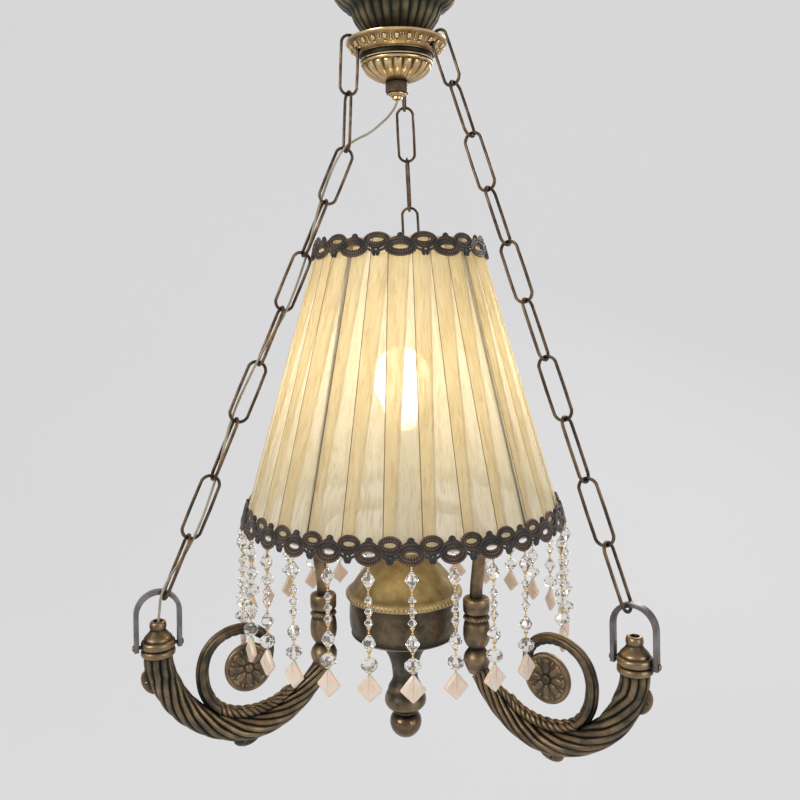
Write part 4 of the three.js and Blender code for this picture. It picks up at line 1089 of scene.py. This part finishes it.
tape_grey, tree, skin, place = blank("tape_grey", {"Roughness": 0.85})
wound = banded(tree, place, 90.0, 1.0, "Z")
finish(tree, skin, ramp(tree, wound, [(0.2, (0.07, 0.075, 0.06)), (0.8, (0.13, 0.135, 0.11))]))
tapes = []
for angle in RIB_ANGLES:
    out = math.radians(angle)
    rail = [
        around(out, SHADE_TOP - TAPE_INSET, SHADE_TOP_Z - 4) / 1000,
        around(out, SHADE_BOTTOM - TAPE_INSET, SHADE_BOTTOM_Z + 5) / 1000,
    ]
    tapes.append(swept("rib_tape", rail, TAPE_RADIUS / 1000, 12, 2))
tape = joined(tapes, "rib_tapes")
bpy.ops.object.shade_smooth()
dress(tape, tape_grey)
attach(tape, "lamp_frame")


# Gimp braid: twisted brown and black cord laid in two rows of oval loops, with waving cords and
# small knots between them, sewn together and glued over both edges of the cover. The upper loops
# stand half a repeat on.
DRAWN_REPEAT = 47
LOW_LOOPS = ((14.8, 8.4, 1.15), (13.0, 6.9, 0.7), (11.3, 5.5, 1.05), (9.7, 4.1, 0.7), (8.2, 2.9, 0.95))
HIGH_LOOPS = ((12.8, 6.8, 1.1), (11.1, 5.4, 0.7), (9.4, 4.0, 1.0), (7.8, 2.7, 0.7))
WAVE_RADIUS = 0.0013
BRAID_TURN = -3.8


def shade_radius(height):
    """The shade's radius at a height."""
    rise = height - SHADE_BOTTOM_Z
    return SHADE_BOTTOM + rise * (SHADE_TOP - SHADE_BOTTOM) / (SHADE_TOP_Z - SHADE_BOTTOM_Z)


def on_shade(along, height, out, radius_at):
    """A place on the shade's face: millimetres round it, up, and off the cloth."""
    return around(along / radius_at, shade_radius(height) + out, height) / 1000


def cord_finish(name, valley_shade, plain, painted_highlight):
    """Twisted gimp cord: two plies round it, on its own UV. Their crowns are a painted highlight,
    and the valleys between them are painted shade.
    """
    made, tree, skin, place = blank(name, {"Roughness": 0.42, "Sheen Weight": 0.1})
    lay = put(tree, "ShaderNodeUVMap", uv_map="UVMap").outputs["UV"]
    lay = put(tree, "ShaderNodeSeparateXYZ", {"Vector": lay}).outputs
    strand_turn = reckon(tree, "MULTIPLY_ADD", lay["X"], 520.0, lay["Y"])
    ply = reckon(tree, "SINE", reckon(tree, "MULTIPLY", strand_turn, 2 * math.pi))
    ply = between(tree, ply, -1.0, 1.0)
    # Painted highlight and shade: each ply is lighter on its crown and darker in its valley, flecked by
    # noise.
    painted_ply_light = reckon(tree, "MULTIPLY", ply, noise(tree, place, 60.0, 4.0))
    fuzz = bump(tree, noise(tree, place, 1800.0, 2.0), 0.3, 0.0002)
    colour = ramp(tree, painted_ply_light, [(0.05, valley_shade), (0.3, plain), (0.62, painted_highlight)])
    finish(tree, skin, colour, bump(tree, ply, 0.9, 0.0004, over=fuzz))
    return made


brown_gimp = cord_finish("brown_gimp", (0.014, 0.010, 0.008), (0.085, 0.050, 0.031), (0.34, 0.185, 0.095))
black_gimp = cord_finish("black_gimp", (0.006, 0.006, 0.007), (0.022, 0.019, 0.018), (0.10, 0.075, 0.06))


def gimp_band(name, top, tall, count, turn, node):
    """A braid of count repeats round the shade, drawn once and copied, with its two wave cords."""
    middle = top - tall / 2
    radius = shade_radius(middle) + 2.5
    pitch = 2 * math.pi * radius / count
    grow = pitch / DRAWN_REPEAT
    motif = []
    rows = ((0, middle - 2.8, LOW_LOOPS, 1.9), (pitch / 2, middle + 4.6, HIGH_LOOPS, 1.1))
    for along, height, ovals, off in rows:
        for i, (half, rise, thick) in enumerate(ovals):
            ring = []
            for a in range(12):
                across = along + half * grow * math.cos(a * math.pi / 6)
                ring.append(on_shade(across, height + rise * math.sin(a * math.pi / 6), off + thick, radius))
            loop = swept("gimp_loop", ring, thick / 1000, 6, 2, closed=True)
            motif.append(dress(loop, black_gimp if i % 2 else brown_gimp))
    knot = begin("gimp_knot")
    for side in (-1, 1):
        base = on_shade(pitch / 2 + side * 2.2 * grow, middle - 7.6, 2.6, radius) * 1000
        lump(base, (2.1, 1.7, 4.2), (0, 12 * side, math.degrees(pitch / 2 / radius)), 10, 6)
    lump(on_shade(0, middle + 8.0, 2.4, radius) * 1000, (3.6, 2.2, 3.4), segments=12, rings=8)
    close_up(60)
    motif.append(dress(knot, black_gimp))
    band = [ring_copies(joined(motif, name), count)]
    for shift in (-2.2, 1.4):
        line = []
        for i in range(count * 8):
            height = middle + 0.6 + 5.4 * math.cos(2 * math.pi * i / 8) + shift
            line.append(on_shade(pitch * i / 8, height, 3.1 + 0.4 * math.sin(2 * math.pi * i / 4), radius))
        band.append(dress(swept("gimp_wave", line, WAVE_RADIUS, 6, 2, closed=True), black_gimp))
    band = joined(band, name)
    band.data.transform(Matrix.Rotation(math.radians(turn), 4, "Z"))
    bpy.ops.object.shade_smooth()
    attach(band, "lamp_frame")
    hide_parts(node)


gimp_band("braid_top", top=-275, tall=22, count=12, turn=7.6, node="trim_top")
gimp_band("braid_bottom", top=-548, tall=23, count=28, turn=BRAID_TURN, node="trim_bottom")


# Crystal strands: 27, each on a brass wire under the braid. Five faceted bicones, an octagon and a
# frosted peach kite hang on it, with brass pins and little balls between them. The place beside
# the right arm is left out, and two strands hang a little aside of the other arms.
HOOK_RADIUS, HOOK_Z = 169.851, -571.3
BICONES = [(4.8, 14.7, 6), (26.2, 8.4, 3.8), (36, 8.4, 3.8), (45.6, 8.4, 4.1), (60.3, 14.7, 6.2)]
OCTAGON = (80.7, 11.4, 7.4)
BEADS = [*BICONES, OCTAGON]
KITE_TOP, KITE_LENGTH, KITE_HALF, KITE_THICK, KITE_SHOULDER = 93.4, 25.8, 11.7, 5, 0.56
STRAND_PIN_RADIUS = 0.00045
STRANDS_ROUND = 28
LEFT_OUT = 5
STRAND_PLACES = [place for place in range(STRANDS_ROUND) if place != LEFT_OUT]
STRAND_ASIDE = {14: -1.7, 24: 0.7}

crystal, tree, skin, place = blank(
    "clear_crystal", {"Roughness": 0.03, "IOR": 1.56, "Transmission Weight": 0.92},
)
ripple = noise(tree, place, 300.0, 2.0)
clear = ramp(tree, ripple, [(0.3, (0.97, 0.93, 0.87)), (0.7, (1.0, 0.985, 0.96))])
finish(tree, skin, clear, bump(tree, ripple, 0.05, 0.0004))

satin_peach, tree, skin, place = blank(
    "frosted_peach", {"Roughness": 0.28, "Subsurface Weight": 0.8, "Subsurface Scale": 0.004},
)
mist = noise(tree, place, 90.0, 4.0)
peach = ramp(tree, mist, [(0.3, (0.80, 0.66, 0.52)), (0.7, (0.90, 0.79, 0.66))])
finish(tree, skin, peach, bump(tree, mist, 0.08, 0.0005))

pins_gold = patina("pin_gold", (0.25, 0.16, 0.05), (0.78, 0.52, 0.20), (0.95, 0.74, 0.38), 0.22, 0.05)


def cut_bead(bead, sides, shape):
    """A bead with flat ends: its top, length and radius, and its outline as shares of these."""
    top, length, radius = bead
    bpy.ops.mesh.select_all(action="DESELECT")
    turn_profile([(radius * share, -top - length * down) for down, share in shape], sides)
    bpy.ops.mesh.edge_face_add()
    select_where(lambda co: abs(co.z * 1000 + top) < 0.01)
    bpy.ops.mesh.edge_face_add()


beads = begin("strand_beads")
for bead in BICONES:
    cut_bead(bead, 8, [(0, 0.26), (0.2, 0.62), (0.46, 1), (0.54, 1), (0.8, 0.62), (1, 0.26)])
cut_bead(OCTAGON, 8, [(0, 0.42), (0.3, 1), (0.66, 1), (1, 0.46)])
close_up(12)
dress(beads, crystal)

pins = begin("strand_pins")
stops = [0.0] + [top + length for top, length, radius in BEADS]
starts = [top for top, length, radius in BEADS] + [KITE_TOP + 2]
for stop, start in zip(stops, starts):
    gap = start - stop
    bpy.ops.mesh.select_all(action="DESELECT")
    bpy.ops.mesh.primitive_cylinder_add(
        vertices=6, radius=STRAND_PIN_RADIUS, depth=(gap + 0.6) / 1000,
        location=(0, 0, -(stop + start) / 2000),
    )
    balls = [0.5] if gap < 3.2 else [0.28, 0.72] if gap < 8 else [0.2, 0.5, 0.8]
    for share in balls:
        lump((0, 0, -stop - gap * share), (1.15, 1.15, 0.95), segments=8, rings=6)
for top, length, radius in BICONES:
    lump((0, 0, -top - length + 0.2), (2.1, 2.1, 1.5), segments=8, rings=6)
close_up(40)
dress(pins, pins_gold)

kite = begin("strand_kite")
bpy.ops.mesh.primitive_cylinder_add(
    vertices=4, radius=KITE_HALF / 1000, depth=KITE_THICK / 1000, rotation=(math.pi / 2, 0, 0),
)
bpy.ops.transform.resize(value=(1, 1, KITE_LENGTH / 2 / KITE_HALF), center_override=(0, 0, 0))
select_where(lambda co: abs(co.x) > 0.005)
bpy.ops.transform.translate(value=(0, 0, (0.5 - KITE_SHOULDER) * KITE_LENGTH / 1000))
bpy.ops.mesh.select_mode(type="EDGE")
for across, width in ((True, 0.0014), (False, 0.0016)):
    net = bmesh.from_edit_mesh(kite.data)
    for edge in net.edges:
        a, b = edge.verts
        edge.select_set((a.co - b.co).xz.length < 0.0001 if across else abs(a.co.y - b.co.y) < 0.0001)
    net.select_flush_mode()
    bmesh.update_edit_mesh(kite.data)
    bpy.ops.mesh.bevel(offset=width, segments=2 if across else 1, affect="EDGES")
move_all(0, -(KITE_TOP + KITE_LENGTH / 2))
close_up(20)
dress(kite, satin_peach)
strand = joined([beads, pins, kite], "strand")
strand.data.transform(Matrix.Translation(Vector((0, -HOOK_RADIUS, HOOK_Z)) / 1000))
for i, place in enumerate(STRAND_PLACES):
    turn = BRAID_TURN + 360 * place / STRANDS_ROUND + STRAND_ASIDE.get(place, 0)
    one = turned_copy(strand, f"crystals_{i + 1:02d}", math.radians(turn))
    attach(one, f"strand_{i + 1:02d}")
    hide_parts(f"strand_{i + 1:02d}")
bpy.data.objects.remove(strand)
